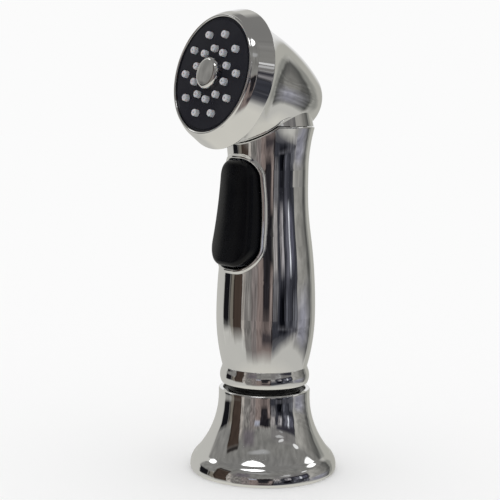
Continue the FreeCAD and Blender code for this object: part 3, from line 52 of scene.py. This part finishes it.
def speckle_group():
    """The uneven finish that every material shares. A broad noise wanders between two colours and
    two roughnesses, and a fine noise gives a height for the bump. Scales are per metre."""
    group = bpy.data.node_groups.new("uneven finish", "ShaderNodeTree")
    for label, kind in (("Colour A", "NodeSocketColor"), ("Colour B", "NodeSocketColor"),
                        ("Rough A", "NodeSocketFloat"), ("Rough B", "NodeSocketFloat"),
                        ("Patches", "NodeSocketFloat"), ("Grain", "NodeSocketFloat")):
        group.interface.new_socket(label, in_out="INPUT", socket_type=kind)
    for label, kind in (("Colour", "NodeSocketColor"), ("Roughness", "NodeSocketFloat"),
                        ("Height", "NodeSocketFloat")):
        group.interface.new_socket(label, in_out="OUTPUT", socket_type=kind)
    nodes, links = group.nodes, group.links
    given, made = nodes.new("NodeGroupInput"), nodes.new("NodeGroupOutput")
    where = nodes.new("ShaderNodeTexCoord")
    patches, grain = nodes.new("ShaderNodeTexNoise"), nodes.new("ShaderNodeTexNoise")
    for noise, label, detail in ((patches, "Patches", 5), (grain, "Grain", 3)):
        noise.inputs["Detail"].default_value = detail
        links.new(where.outputs["Object"], noise.inputs["Vector"])
        links.new(given.outputs[label], noise.inputs["Scale"])
    # The noise keeps mostly to this middle span, which is drawn out to the full range
    contrast = nodes.new("ShaderNodeMapRange")
    contrast.inputs["From Min"].default_value = 0.32
    contrast.inputs["From Max"].default_value = 0.68
    links.new(patches.outputs["Fac"], contrast.inputs["Value"])
    colour, rough = nodes.new("ShaderNodeMix"), nodes.new("ShaderNodeMix")
    colour.data_type = "RGBA"
    colour_a, colour_b = [s for s in colour.inputs if s.type == "RGBA"]
    for socket, label in ((colour_a, "Colour A"), (colour_b, "Colour B"),
                          (rough.inputs["A"], "Rough A"), (rough.inputs["B"], "Rough B")):
        links.new(given.outputs[label], socket)
    for mix in (colour, rough):
        links.new(contrast.outputs["Result"], mix.inputs["Factor"])
    links.new([s for s in colour.outputs if s.type == "RGBA"][0], made.inputs["Colour"])
    links.new(rough.outputs["Result"], made.inputs["Roughness"])
    links.new(grain.outputs["Fac"], made.inputs["Height"])
    return group


uneven_finish = speckle_group()


def finish(name, colours, roughness, patches, grain, height, sockets=None):
    """A material that wanders between two colours and two roughnesses, with a grain of the given
    height in metres. The other sockets of the shader have one value all over."""
    material = bpy.data.materials.new(name)
    material.use_nodes = True
    nodes, links = material.node_tree.nodes, material.node_tree.links
    shader = nodes["Principled BSDF"]
    for label, value in (sockets or {}).items():
        shader.inputs[label].default_value = value
    uneven = nodes.new("ShaderNodeGroup")
    uneven.node_tree = uneven_finish
    for label, value in (("Colour A", (*colours[0], 1)), ("Colour B", (*colours[1], 1)),
                         ("Rough A", roughness[0]), ("Rough B", roughness[1]),
                         ("Patches", patches), ("Grain", grain)):
        uneven.inputs[label].default_value = value
    bump = nodes.new("ShaderNodeBump")
    bump.inputs["Distance"].default_value = height
    links.new(uneven.outputs["Colour"], shader.inputs["Base Color"])
    links.new(uneven.outputs["Roughness"], shader.inputs["Roughness"])
    links.new(uneven.outputs["Height"], bump.inputs["Height"])
    links.new(bump.outputs["Normal"], shader.inputs["Normal"])
    return material


def dress(node, material):
    """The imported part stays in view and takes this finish."""
    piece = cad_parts[node]
    piece.data.materials.clear()
    piece.data.materials.append(material)


gasket_rubber = finish("gasket rubber", ((0.016, 0.016, 0.017), (0.028, 0.028, 0.029)),
                       (0.55, 0.72), patches=190, grain=2600, height=0.00003)
dress("deck_gasket", gasket_rubber)


# Bell of the holder: spun brass, polished and chromed. It flares from a straight neck to a rounded
# foot, and the polishing has eased its crease and its rim. Inside is the shelf for the guide.

MM = 0.001


def side_view(corners, step=0.05):
    """Points step millimetres apart round a closed outline. A corner (x, y) is reached in a
    straight line. A corner (x, y, radius) is reached on the short arc of that radius, which turns
    left, or right where the radius is negative: its centre lies on the chord's bisector."""
    runs = []
    for before, corner in zip(corners[-1:] + corners[:-1], corners):
        start, end = np.array(before[:2], float), np.array(corner[:2], float)
        chord = end - start
        length = np.hypot(*chord)
        share = np.linspace(0, 1, max(int(length / step), 2), endpoint=False)
        if len(corner) == 2:
            runs.append(start + chord * share[:, None])
            continue
        radius, side = abs(corner[2]), math.copysign(1, corner[2])
        off = math.sqrt(max(radius ** 2 - length ** 2 / 4, 0)) * side
        centre = (start + end) / 2 + np.array([-chord[1], chord[0]]) / length * off
        first = math.atan2(start[1] - centre[1], start[0] - centre[0])
        angle = first + 2 * math.asin(min(length / 2 / radius, 1)) * side * share
        runs.append(centre + radius * np.stack([np.cos(angle), np.sin(angle)], axis=1))
    return np.concatenate(runs)


def eased(points, spread, count, crowding=6.0, samples=8192, reach=16):
    """A closed outline with its corners eased: each point becomes the mean of its neighbours under
    a bell curve of the given spread in millimetres, taken with a Fourier transform of the samples.
    The outline is then divided anew into count points. They crowd together where it bends, since a
    radian of bend, averaged over reach samples to either side, counts as crowding millimetres."""
    loop = np.vstack([points, points[:1]])
    along = np.concatenate([[0], np.cumsum(np.hypot(*np.diff(loop, axis=0).T))])
    even = np.linspace(0, along[-1], samples, endpoint=False)
    path = np.interp(even, along, loop[:, 0]) + 1j * np.interp(even, along, loop[:, 1])
    waves = np.fft.fftfreq(samples, d=even[1])
    path = np.fft.ifft(np.fft.fft(path) * np.exp(-2 * (np.pi * waves * spread) ** 2))
    heading = np.angle(np.roll(path, -1) - path)
    bend = np.abs((np.roll(heading, -1) - heading + np.pi) % (2 * np.pi) - np.pi)
    window = 2 * reach + 1
    bend = np.convolve(np.concatenate([bend[-reach:], bend, bend[:reach]]),
                       np.ones(window) / window, "valid")
    work = np.concatenate([[0], np.cumsum(even[1] + crowding * bend)])
    wanted = np.linspace(0, work[-1], count, endpoint=False)
    place = np.interp(wanted, work, np.arange(len(work))) % samples
    closed = np.append(path, path[0])
    steps = np.arange(len(closed))
    return np.stack([np.interp(place, steps, closed.real),
                     np.interp(place, steps, closed.imag)], axis=1)


def new_piece(name, points, faces, material, body, slot, *stands_for):
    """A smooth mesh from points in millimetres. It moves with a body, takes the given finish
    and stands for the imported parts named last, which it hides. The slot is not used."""
    mesh = bpy.data.meshes.new(name)
    mesh.from_pydata((np.asarray(points) * MM).tolist(), [], np.asarray(faces).tolist())
    mesh.polygons.foreach_set("use_smooth", np.ones(len(mesh.polygons), bool))
    mesh.materials.append(material)
    mesh.update()
    piece = bpy.data.objects.new(name, mesh)
    bpy.context.scene.collection.objects.link(piece)
    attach(piece, body)
    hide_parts(*stands_for)


def ring_faces(rows, columns):
    """Four sided faces of a grid of points that closes on itself both ways. They face outwards
    where each row is a ring, counter clockwise seen from above, and the rows go out below and up
    outside."""
    number = np.arange(rows * columns).reshape(rows, columns)
    below, across = np.roll(number, -1, axis=0), np.roll(number, -1, axis=1)
    both = np.roll(below, -1, axis=1)
    return np.stack([number, across, both, below], axis=-1).reshape(-1, 4)


def spun(section, turns):
    """A closed section of (radius, height) swept round the upright axis: the point (r, h) goes to
    (r cos t, r sin t, h) for evenly spaced turns t. Gives the points, row by row of the section."""
    turn = np.linspace(0, 2 * np.pi, turns, endpoint=False)
    r, h = section[:, 0, None], section[:, 1, None]
    return np.stack([r * np.cos(turn), r * np.sin(turn), h + 0 * turn], axis=-1).reshape(-1, 3)


# A mirror, but for the slow waves of the polisher's wheel and a breath of haze between them
bright_chrome = finish("bright chrome", ((0.93, 0.93, 0.925), (0.88, 0.88, 0.88)), (0.02, 0.05),
                       patches=55, grain=70, height=0.00001, sockets={"Metallic": 1.0})

BELL_TURNS = 240
bell_section = eased(side_view([
    # The flat foot and its rounded outside, the flare, and the neck with its rounded rim
    (24.6, 0.0), (27.1, 0.0), (27.5, 1.0), (24.9, 7.1, 7.2),
    (17.1, 28.5, -33.261), (17.1, 30.4), (16.5, 31.0, 0.6), (15.5, 31.0),
    # Inside: the shelf, the bore below it, the cone, and the recess for the gasket
    (15.5, 28.2), (14.6, 28.2), (14.6, 19.0), (23.0, 4.9), (23.0, 2.0), (24.6, 2.0)]),
    spread=0.15, count=260)
new_piece("bell", spun(bell_section, BELL_TURNS), ring_faces(len(bell_section), BELL_TURNS),
          bright_chrome, "holder", "chrome", "deck_flange")


# Guide: a black moulded liner pushed up into the bell. Its collar lies on the shelf, and its mouth
# is a cone that the handset sits in. The mould left it satin, a little uneven all over.

black_plastic = finish("black plastic", ((0.012, 0.012, 0.013), (0.02, 0.02, 0.021)), (0.34, 0.46),
                       patches=120, grain=3200, height=0.000012)
dress("holder_guide", black_plastic)


# Swivel tail: the turned brass end that the hose screws on, with its two rubber rings, the spring
# wire clip that keeps it in the collar and the pierced steel screen in its mouth.

turned_brass = finish("turned brass", ((0.78, 0.56, 0.25), (0.70, 0.49, 0.21)), (0.18, 0.3),
                      patches=90, grain=1800, height=0.00001, sockets={"Metallic": 1.0})
spring_steel = finish("spring steel", ((0.60, 0.59, 0.57), (0.50, 0.49, 0.48)), (0.2, 0.34),
                      patches=150, grain=2600, height=0.000008, sockets={"Metallic": 1.0})
seal_rubber = finish("seal rubber", ((0.014, 0.014, 0.015), (0.024, 0.024, 0.025)), (0.3, 0.42),
                     patches=260, grain=4200, height=0.00001)
dress("swivel_tail", turned_brass)
dress("swivel_orings", seal_rubber)
dress("retaining_clip", spring_steel)
dress("inlet_screen", spring_steel)


# Base collar: the bead at the foot of the handset, turned brass under chrome. Its foot is a cone
# that sits in the guide, and its sleeve is pressed up into the handle.

COLLAR_TURNS = 200
collar_section = eased(side_view([
    # The foot, its cone, the bead and the step under the handle
    (7.05, 25.6), (11.23, 25.6), (13.85, 31.3), (16.2, 33.4), (16.2, 38.4, 5.957), (15.9, 39.5),
    # The sleeve, its bore, and the stepped bore that the tail turns in
    (13.6, 39.5), (13.6, 47.3), (11.0, 47.3), (11.0, 31.0), (9.6, 31.0), (9.6, 29.0),
    (7.05, 29.0)]), spread=0.1, count=240)
new_piece("collar", spun(collar_section, COLLAR_TURNS),
          ring_faces(len(collar_section), COLLAR_TURNS),
          bright_chrome, "handset", "chrome", "base_collar")


# Handle shell: a hollow zinc casting under chrome, buffed till the waist and the belly run into one
# another. The window for the trigger has a raised bead round it. The top is cut to fit the head.

dress("handle_shell", bright_chrome)


# Water way and its valves, all out of sight in the handle: an acetal core, the check valve that the
# supply pushes open, the trigger valve across the handle with its gland, and the outlet elbow.

core_plastic = finish("acetal", ((0.62, 0.61, 0.58), (0.68, 0.67, 0.64)), (0.38, 0.5),
                      patches=90, grain=2400, height=0.000012)
for node in ("waterway_body", "check_seat", "check_poppet", "outlet_elbow"):
    dress(node, core_plastic)
for node in ("check_spring", "valve_spring"):
    dress(node, spring_steel)
for node in ("packing_nut", "valve_stem", "valve_plug"):
    dress(node, turned_brass)
for node in ("stem_oring", "seat_washer", "distributor_seal"):
    dress(node, seal_rubber)


# Trigger: a steel pin, a stiff black lever and the soft pad moulded over it. The pad is satin
# rubber with a faint cool sheen along its edges.

trigger_soft = finish("trigger rubber", ((0.0012, 0.0014, 0.0024), (0.0022, 0.0025, 0.0038)),
                      (0.22, 0.3), patches=130, grain=5200, height=0.000006,
                      sockets={"Specular IOR Level": 0.22, "Sheen Weight": 0.12,
                               "Sheen Roughness": 0.3, "Sheen Tint": (0.85, 0.88, 1.0, 1.0)})
dress("trigger_pin", spring_steel)
dress("trigger_lever", black_plastic)
dress("trigger_pad", trigger_soft)


# Head: one chromed casting, the long bulb that carries the spray face and the short neck on which
# it stands. The polishing has run the flare behind the ring into the bulb.

dress("head_housing", bright_chrome)


# Face ring: the wide chrome band that screws on the head and holds the spray face in. It swells
# from a thin lip to its widest edge, where it meets the head in a fine seam.

SHELF_HEIGHT = 28.2  # of the shelf in the bell, which carries guide and handset
HEAD_ABOVE_SHELF = 112.83
HEAD_HEIGHT = SHELF_HEIGHT + HEAD_ABOVE_SHELF
HEAD_TILT = math.radians(12.04)


def on_head(points):
    """Points made about an upright axis, laid on the head's own, which leans back by the tilt:
    (x, y, h) goes to x sideways, y up the face and h forwards along the axis, counted from the
    head's centre."""
    x, y, h = points.T
    return np.stack([x, y * math.sin(HEAD_TILT) - h * math.cos(HEAD_TILT),
                     HEAD_HEIGHT + y * math.cos(HEAD_TILT) + h * math.sin(HEAD_TILT)], axis=1)


RING_TURNS = 260
ring_section = eased(side_view([
    # The inside and the back edge, then the band, which swells and ends in the lip
    (20.75, 25.66), (22.0, 25.66), (22.0, 19.61), (25.1, 19.61), (25.45, 19.96, 0.35),
    (23.2, 25.36), (21.8, 27.06, 9.6), (21.2, 27.76, 0.7), (20.75, 27.51)]),
    spread=0.09, count=200)
new_piece("ring_band", on_head(spun(ring_section, RING_TURNS)),
          ring_faces(len(ring_section), RING_TURNS),
          bright_chrome, "handset", "chrome", "face_ring")


# Spray face: a black moulded plate with a hole for each nub. It is glossy where the mould was
# polished, and a fine step runs round it just inside the lip of the ring.

face_black = finish("face black", ((0.009, 0.009, 0.0145), (0.015, 0.0155, 0.021)), (0.24, 0.34),
                    patches=60, grain=5200, height=0.000004, sockets={"Specular IOR Level": 0.17})
dress("face_plate", face_black)


# Nozzle mat: pale grey silicone, a sheet behind the plate with ten nubs in each of two rings. The
# mould rounds each nub's tip and leaves a shallow dimple round its hole.

NUBS = 10
OUTER_CIRCLE, INNER_CIRCLE = 14.75, 9.08
NUB_TURNS = 28
SHEET_TURNS = 120
nub_section = eased(side_view([
    # The root in the sheet, the tapered side, the rounded tip, and the dimple with its hole
    (0.3, 22.75), (1.42, 22.75), (1.42, 24.2), (1.27, 28.53), (0.77, 29.03, 0.55),
    (0.55, 29.01), (0.3, 28.75)]), spread=0.05, count=56)
nub = spun(nub_section, NUB_TURNS)
# The inner ring stands a quarter turn on, which puts its nubs midway between the outer ones
outer_turn = np.arange(NUBS) * (2 * np.pi / NUBS)
inner_turn = outer_turn + np.pi / 2
nub_places = np.concatenate([
    OUTER_CIRCLE * np.stack([np.cos(outer_turn), np.sin(outer_turn)], axis=1),
    INNER_CIRCLE * np.stack([np.cos(inner_turn), np.sin(inner_turn)], axis=1)])
nub_points = nub[None] + np.pad(nub_places, ((0, 0), (0, 1)))[:, None]
nub_faces = (ring_faces(len(nub_section), NUB_TURNS)
             + len(nub) * np.arange(2 * NUBS)[:, None, None])
sheet_section = side_view([(3.5, 22.71), (19.0, 22.71), (19.0, 23.96), (3.5, 23.96)], step=1.0)
mat_points = np.concatenate([nub_points.reshape(-1, 3), spun(sheet_section, SHEET_TURNS)])
mat_faces = np.concatenate([nub_faces.reshape(-1, 4),
                            ring_faces(len(sheet_section), SHEET_TURNS) + 2 * NUBS * len(nub)])
nozzle_silicone = finish("nozzle silicone", ((0.455, 0.432, 0.452), (0.525, 0.5, 0.52)),
                         (0.42, 0.55), patches=260, grain=5200, height=0.00001,
                         sockets={"Subsurface Weight": 0.15})
new_piece("nozzle_nubs", on_head(mat_points), mat_faces, nozzle_silicone,
          "handset", "nozzle_grey", "nozzle_mat")


# Behind the face: the distributor that feeds the nubs, moulded from acetal, and the steel screw
# that holds the plate to it. Both are shut in by the head.

dress("distributor", core_plastic)
dress("face_screw", spring_steel)


# Centre cap: a pressed and chromed button that snaps over the screw. Its top is nearly flat and
# runs into its side with a broad round.

def spun_button(section, turns):
    """The points and three sided faces of an outline swept round the upright axis as in spun. The
    outline starts and ends on the axis, where all its faces meet in one point."""
    rings = spun(section[1:-1], turns)
    points = np.vstack([rings, [0, 0, section[0, 1]], [0, 0, section[-1, 1]]])
    squares = ring_faces(len(section) - 2, turns)[:-turns]
    low = np.arange(turns)
    high = low + len(rings) - turns
    low_fan = np.stack([np.roll(low, -1), low, np.full(turns, len(rings))], axis=1)
    high_fan = np.stack([high, np.roll(high, -1), np.full(turns, len(rings) + 1)], axis=1)
    return points, np.vstack([squares[:, :3], squares[:, [0, 2, 3]], low_fan, high_fan])


CAP_INSIDE, CAP_TOP = (0.0, 29.31), (0.0, 30.61)
cap_section = side_view([
    # The inside, the rim that snaps on, the step that lies on the plate, the side and the top
    CAP_INSIDE, (3.9, 29.08), (3.9, 26.41), (4.9, 26.41), (4.9, 27.31), (5.7, 27.31),
    (5.7, 28.98), (4.3, 30.38, 1.4), (*CAP_TOP, 40.0)], step=0.1)
off_axis = cap_section[:, 0] >= 1e-6
cap_points, cap_faces = spun_button(np.vstack([CAP_INSIDE, cap_section[off_axis], CAP_TOP]),
                                    turns=120)
new_piece("cap_button", on_head(cap_points), cap_faces, bright_chrome,
          "handset", "chrome", "centre_cap")


# Floor of the studio: a pale matt sheet, wide enough to run out of sight, whose far edge melts into
# the backdrop. Polished metal doesn't mirror it, because the room below is drawn as the metal sees
# it.

FLOOR_WHITE = 0.965
FLOOR_REACH = 4
floor_mesh = bpy.data.meshes.new("floor")
floor_mesh.from_pydata([(FLOOR_REACH * x, FLOOR_REACH * y, 0)
                        for x, y in ((-1, -1), (1, -1), (1, 1), (-1, 1))], [], [(0, 1, 2, 3)])
floor_mesh.materials.append(finish("floor", ((FLOOR_WHITE,) * 3, (FLOOR_WHITE,) * 3), (0.9, 0.95),
                                   patches=3, grain=300, height=0.00001,
                                   sockets={"Specular IOR Level": 0.0}))
floor = bpy.data.objects.new("floor", floor_mesh)
bpy.context.scene.collection.objects.link(floor)
floor.visible_glossy = False


# Studio light: an even white dome, with the room that the chrome mirrors. The room is drawn on the
# dome as soft edged panels, placed in degrees by elevation and by azimuth from the camera's side.

CAMERA_AZIMUTH = math.radians(50.38)


def linear(colour):
    """A screen colour of 0 to 255 a channel as linear light."""
    part = np.asarray(colour) / 255
    return tuple(np.where(part <= 0.04045, part / 12.92, ((part + 0.055) / 1.055) ** 2.4).tolist())


class Room:
    """The world's node tree while it is drawn. light is the colour so far, and each panel covers
    it. A noise bends azimuth and elevation by a degree or two, so that no edge is quite
    straight. All angles are in degrees."""

    BEND_SCALE, BEND_DETAIL = 5, 1
    BEND_DEGREES = (7, 3)  # from trough to crest, of azimuth and of elevation
    STREAK_DETAIL = 5
    STREAK_SPAN = (0.3, 0.7)  # the part of the noise that is drawn out to dark and bright
    STREAK_BLUR = 4  # at the left and right ends

    def __init__(self, base):
        world = bpy.data.worlds.new("room")
        bpy.context.scene.world = world
        world.use_nodes = True
        world.cycles.sampling_method = "NONE"
        self.nodes, self.links = world.node_tree.nodes, world.node_tree.links
        self.nodes.clear()
        where = self.nodes.new("ShaderNodeTexCoord")
        split = self.nodes.new("ShaderNodeSeparateXYZ")
        self.links.new(where.outputs["Generated"], split.inputs[0])
        x, y, z = split.outputs
        east, south = math.sin(CAMERA_AZIMUTH), math.cos(CAMERA_AZIMUTH)
        ahead = self.maths("SUBTRACT", self.maths("MULTIPLY", x, east),
                           self.maths("MULTIPLY", y, south))
        aside = self.maths("ADD", self.maths("MULTIPLY", x, south),
                           self.maths("MULTIPLY", y, east))
        azimuth = self.maths("MULTIPLY", self.maths("ARCTAN2", aside, ahead), math.degrees(1))
        elevation = self.maths("MULTIPLY", self.maths("ARCSINE", z), math.degrees(1))
        bend = self.nodes.new("ShaderNodeTexNoise")
        bend.inputs["Scale"].default_value = self.BEND_SCALE
        bend.inputs["Detail"].default_value = self.BEND_DETAIL
        self.links.new(where.outputs["Generated"], bend.inputs["Vector"])
        channels = self.nodes.new("ShaderNodeSeparateColor")
        self.links.new(bend.outputs["Color"], channels.inputs[0])
        self.azimuth, self.elevation = (
            self.maths("MULTIPLY_ADD", self.maths("SUBTRACT", channel, 0.5), degrees, angle)
            for channel, degrees, angle in zip(channels.outputs, self.BEND_DEGREES,
                                               (azimuth, elevation)))
        self.light = linear(base)

    def maths(self, operation, *inputs, clamp=False):
        """The outcome of one sum, with a number or another outcome for each of its inputs."""
        node = self.nodes.new("ShaderNodeMath")
        node.operation = operation
        node.use_clamp = clamp
        for socket, value in zip(node.inputs, inputs):
            if isinstance(value, (int, float)):
                socket.default_value = value
            else:
                self.links.new(value, socket)
        return node.outputs[0]

    def mix(self, factor, below, above, blend="MIX"):
        """The colour below, with the one above laid over it where the factor is 1."""
        node = self.nodes.new("ShaderNodeMix")
        node.data_type = "RGBA"
        node.blend_type = blend
        self.links.new(factor, node.inputs["Factor"])
        for socket, value in zip([s for s in node.inputs if s.type == "RGBA"], (below, above)):
            if isinstance(value, tuple):
                socket.default_value = (*value, 1)
            else:
                self.links.new(value, socket)
        return [s for s in node.outputs if s.type == "RGBA"][0]

    def raised(self, left, right, lean):
        """The elevation, taken down by lean for each degree right of the panel's middle."""
        if not lean:
            return self.elevation
        off = self.maths("SUBTRACT", self.azimuth, (left + right) / 2)
        return self.maths("MULTIPLY_ADD", off, -lean, self.elevation)

    def band(self, position, low, high, blur):
        """1 between low and high and 0 outside, with edges that fade over blur degrees."""
        off = self.maths("ABSOLUTE", self.maths("SUBTRACT", position, (low + high) / 2))
        inside = self.maths("SUBTRACT", (high - low) / 2, off)
        return self.maths("MULTIPLY_ADD", inside, 1 / blur, 0.5, clamp=True)

    def panel(self, left, right, low, high, colour, blur=3, blur_up=3, lean=0.0):
        """A soft edged four sided panel. Its lower and upper edges rise by lean for each degree."""
        mask = self.maths("MULTIPLY", self.band(self.azimuth, left, right, blur),
                          self.band(self.raised(left, right, lean), low, high, blur_up))
        self.light = self.mix(mask, self.light, linear(colour))

    def lamp(self, left, right, low, high, strength, soft=0.5, lean=0.0):
        """A glowing oval, 1 inside and fading outwards: soft is the share of it that fades."""
        across = self.maths("DIVIDE", self.maths("SUBTRACT", self.azimuth, (left + right) / 2),
                            (right - left) / 2)
        height = self.maths("SUBTRACT", self.raised(left, right, lean), (low + high) / 2)
        up = self.maths("DIVIDE", height, (high - low) / 2)
        away = self.maths("MULTIPLY_ADD", across, across, self.maths("MULTIPLY", up, up))
        mask = self.maths("MULTIPLY", self.maths("SUBTRACT", 1.0, away), 1 / soft, clamp=True)
        self.light = self.mix(mask, self.light, (strength,) * 3)

    def streaks(self, left, right, low, high, per_degree, stretch, dark, bright, seed=0.0,
                blur_up=4):
        """Clutter: a noise drawn out upwards by stretch darkens and lightens what is there."""
        place = self.nodes.new("ShaderNodeCombineXYZ")
        for axis, value in (("X", self.maths("MULTIPLY_ADD", self.azimuth, per_degree, seed)),
                            ("Y", self.maths("MULTIPLY", self.elevation, per_degree / stretch))):
            self.links.new(value, place.inputs[axis])
        noise = self.nodes.new("ShaderNodeTexNoise")
        noise.inputs["Scale"].default_value = 1
        noise.inputs["Detail"].default_value = self.STREAK_DETAIL
        self.links.new(place.outputs[0], noise.inputs["Vector"])
        spread = self.nodes.new("ShaderNodeMapRange")
        for label, value in zip(("From Min", "From Max", "To Min", "To Max"),
                                (*self.STREAK_SPAN, dark, bright)):
            spread.inputs[label].default_value = value
        self.links.new(noise.outputs["Fac"], spread.inputs["Value"])
        mask = self.maths("MULTIPLY", self.band(self.azimuth, left, right, self.STREAK_BLUR),
                          self.band(self.elevation, low, high, blur_up))
        self.light = self.mix(mask, self.light, spread.outputs["Result"], blend="MULTIPLY")


room = Room(base=(188, 187, 182))
# Below the deck's level it is a little brighter. Above are the ceiling and dim upper walls.
room.panel(-200, 200, -120, -37, (206, 204, 196), blur=8, blur_up=12)
room.panel(-117, 131, 10, 95, (125, 124, 121), blur=6, blur_up=8)
room.panel(-200, 200, 48, 95, (122, 121, 119), blur=8, blur_up=12)
room.panel(134, 164, -28, 34, (173, 172, 165), blur=6, blur_up=10)
# Left side: a grey wall, a black rack below it, a yellowish post and a brown cupboard
room.panel(-117, -84, 6, 38, (131, 130, 127), blur=3, blur_up=5)
room.panel(-115, -94, -13, 8, (22, 22, 25), blur=3, blur_up=4)
room.panel(-94, -88, -14, 7, (75, 72, 68), blur=3, blur_up=5)
room.panel(-89, -81, -16, 8, (122, 117, 108), blur=2, blur_up=6)
room.panel(-82, -57.5, -18, 34, (64, 54, 48), blur=2, blur_up=9)
room.panel(-82, -59, 32.5, 36.5, (46, 43, 42), blur=3, blur_up=2)
room.panel(-81, -78, -12, 26, (48, 41, 36), blur=3, blur_up=6)
# Middle: a pale post, grey shelves, and brown ones with a dark gap before the camera
room.panel(-57, -50, -18, 24, (161, 155, 149), blur=2, blur_up=9)
room.panel(-50.5, -32, -31, 30, (119, 116, 113), blur=3, blur_up=9, lean=-0.1)
room.panel(-46, -22, 17, 36, (104, 99, 103), blur=8, blur_up=8)
room.panel(-34, -20, -33, 16, (118, 111, 109), blur=3, blur_up=9)
room.panel(-21, 16, -32, 13, (125, 113, 109), blur=3, blur_up=9)
room.panel(-22, -9, 7, 13, (150, 152, 163), blur=3, blur_up=3)
room.panel(-9, 17, -25, -16, (62, 57, 59), blur=6, blur_up=6)
room.panel(-9, 16, 3, 14, (28, 27, 31), blur=3, blur_up=3, lean=0.05)
room.panel(-7, 8, -12, 9, (36, 34, 37), blur=4, blur_up=10)
# Right side: a pale hill of a machine that darkens to the right, with a lavender foot
room.panel(122, 137, -18, 20, (138, 138, 133), blur=5, blur_up=8)
room.panel(74, 127.5, -22, 26, (84, 84, 82), blur=4, blur_up=5)
room.panel(30, 103, -21, 28, (165, 163, 158), blur=40, blur_up=6)
room.panel(78, 114, -20, -6, (136, 136, 145), blur=24, blur_up=6)
room.streaks(84, 131, -20, 7, per_degree=0.05, stretch=0.13, dark=0.72, bright=1.3, seed=3.0)
# Dark shelves right of the camera, with bars of light between the upper ones
room.panel(17, 75.5, 14, 30, (118, 116, 115), blur=4, blur_up=6)
room.panel(17, 76.5, -23, -13, (86, 86, 90), blur=3, blur_up=7, lean=0.25)
room.panel(17, 76.5, -18.5, 15, (50, 51, 57), blur=2, blur_up=4, lean=0.16)
room.panel(17.5, 27, 0, 12, (152, 148, 147), blur=3, blur_up=4)
room.panel(17.5, 29, -10, 0, (110, 109, 112), blur=3, blur_up=5)
room.panel(33.5, 44, 1.5, 12, (150, 147, 149), blur=3, blur_up=4)
room.panel(50, 56, -2, 12, (92, 92, 100), blur=4, blur_up=5)
room.panel(57.5, 62, 1.5, 12, (244, 247, 255), blur=3, blur_up=4)
room.panel(64, 72, 2, 12, (84, 84, 96), blur=3, blur_up=4)
room.panel(32, 49, -17, -2, (10, 11, 16), blur=5, blur_up=5)
room.panel(46, 56, -13, -4, (80, 81, 88), blur=5, blur_up=4)
room.panel(66, 76, -14, -5, (96, 97, 103), blur=3, blur_up=4)
room.panel(28, 78, -15, -13, (74, 74, 79), blur=4, blur_up=2)
room.panel(14.5, 17.5, -26, 2, (34, 30, 34), blur=1.5, blur_up=8)
# Clutter on the shelves, their dark top board, and faint clutter all through the room
room.streaks(-58, 16, -22, 18, per_degree=0.3, stretch=3, dark=0.5, bright=1.6, blur_up=12)
room.streaks(17, 76, -18, 15, per_degree=0.4, stretch=5, dark=0.3, bright=1.8, seed=40.0,
             blur_up=8)
room.panel(30, 76, 12, 17, (52, 51, 58), blur=5, blur_up=4)
room.streaks(-118, 127, -18, 62, per_degree=0.12, stretch=1.5, dark=0.8, bright=1.2, seed=9.0,
             blur_up=6)
# Lamps in the ceiling, the lines of light between its slats, and a bright opening behind
room.lamp(-54, 8, 54, 67, 3.0, lean=0.1)
room.lamp(-38, 20, 41, 48, 0.36, soft=0.8)
room.lamp(26, 50, 22.5, 26, 0.45, soft=0.7)
room.lamp(34, 49, 26.5, 30, 0.65, lean=-0.25)
room.lamp(36, 48, 17, 20, 0.3)
room.lamp(68, 82, 27, 32, 0.8)
room.lamp(-124, -105, 33, 45, 1.6)
room.lamp(92, 118, 32, 46, 1.6)
for behind in (-180, 180):
    room.lamp(behind - 28, behind + 28, -4, 28, 0.8, soft=0.9)
# Mirrored rays see the room, the camera sees the backdrop, and all other rays see even white
ray = room.nodes.new("ShaderNodeLightPath")
even_white = room.mix(ray.outputs["Is Glossy Ray"], (1.0, 1.0, 1.0), room.light)
backdrop = room.mix(ray.outputs["Is Camera Ray"], even_white, (FLOOR_WHITE,) * 3)
background = room.nodes.new("ShaderNodeBackground")
room.links.new(backdrop, background.inputs["Color"])
room.links.new(background.outputs[0],
               room.nodes.new("ShaderNodeOutputWorld").inputs["Surface"])


# Camera: where the photograph was taken from, found by fitting the spray's outline. It stands off
# the upright axis, and its focal length is in pixels of a frame as wide as FRAME_PIXELS.

FRAME_PIXELS = 500
SENSOR_WIDTH = 36


def camera_at(distance, height, focal, yaw, pitch, roll):
    """The camera at a distance and height in millimetres, on its azimuth round the upright axis.
    From looking level at the axis it is turned right by yaw, up by pitch and counter clockwise by
    roll, all in degrees."""
    place = Matrix.Translation((distance * math.sin(CAMERA_AZIMUTH) * MM,
                                -distance * math.cos(CAMERA_AZIMUTH) * MM, height * MM))
    level = Matrix.Rotation(CAMERA_AZIMUTH, 4, "Z") @ Matrix.Rotation(math.radians(90), 4, "X")
    turned = (Matrix.Rotation(math.radians(-yaw), 4, "Y")
              @ Matrix.Rotation(math.radians(pitch), 4, "X")
              @ Matrix.Rotation(math.radians(roll), 4, "Z"))
    lens = bpy.data.cameras.new("camera")
    lens.sensor_width = SENSOR_WIDTH
    lens.lens = focal / FRAME_PIXELS * SENSOR_WIDTH
    lens.clip_start = 0.01
    lens.clip_end = 100
    camera = bpy.data.objects.new("camera", lens)
    camera.matrix_world = place @ level @ turned
    bpy.context.scene.collection.objects.link(camera)
    return camera


bpy.context.scene.camera = camera_at(distance=457.90, height=136.97, focal=1240.37,
                                     yaw=-0.78, pitch=-6.77, roll=0.93)
bpy.context.scene.view_settings.view_transform = "Standard"
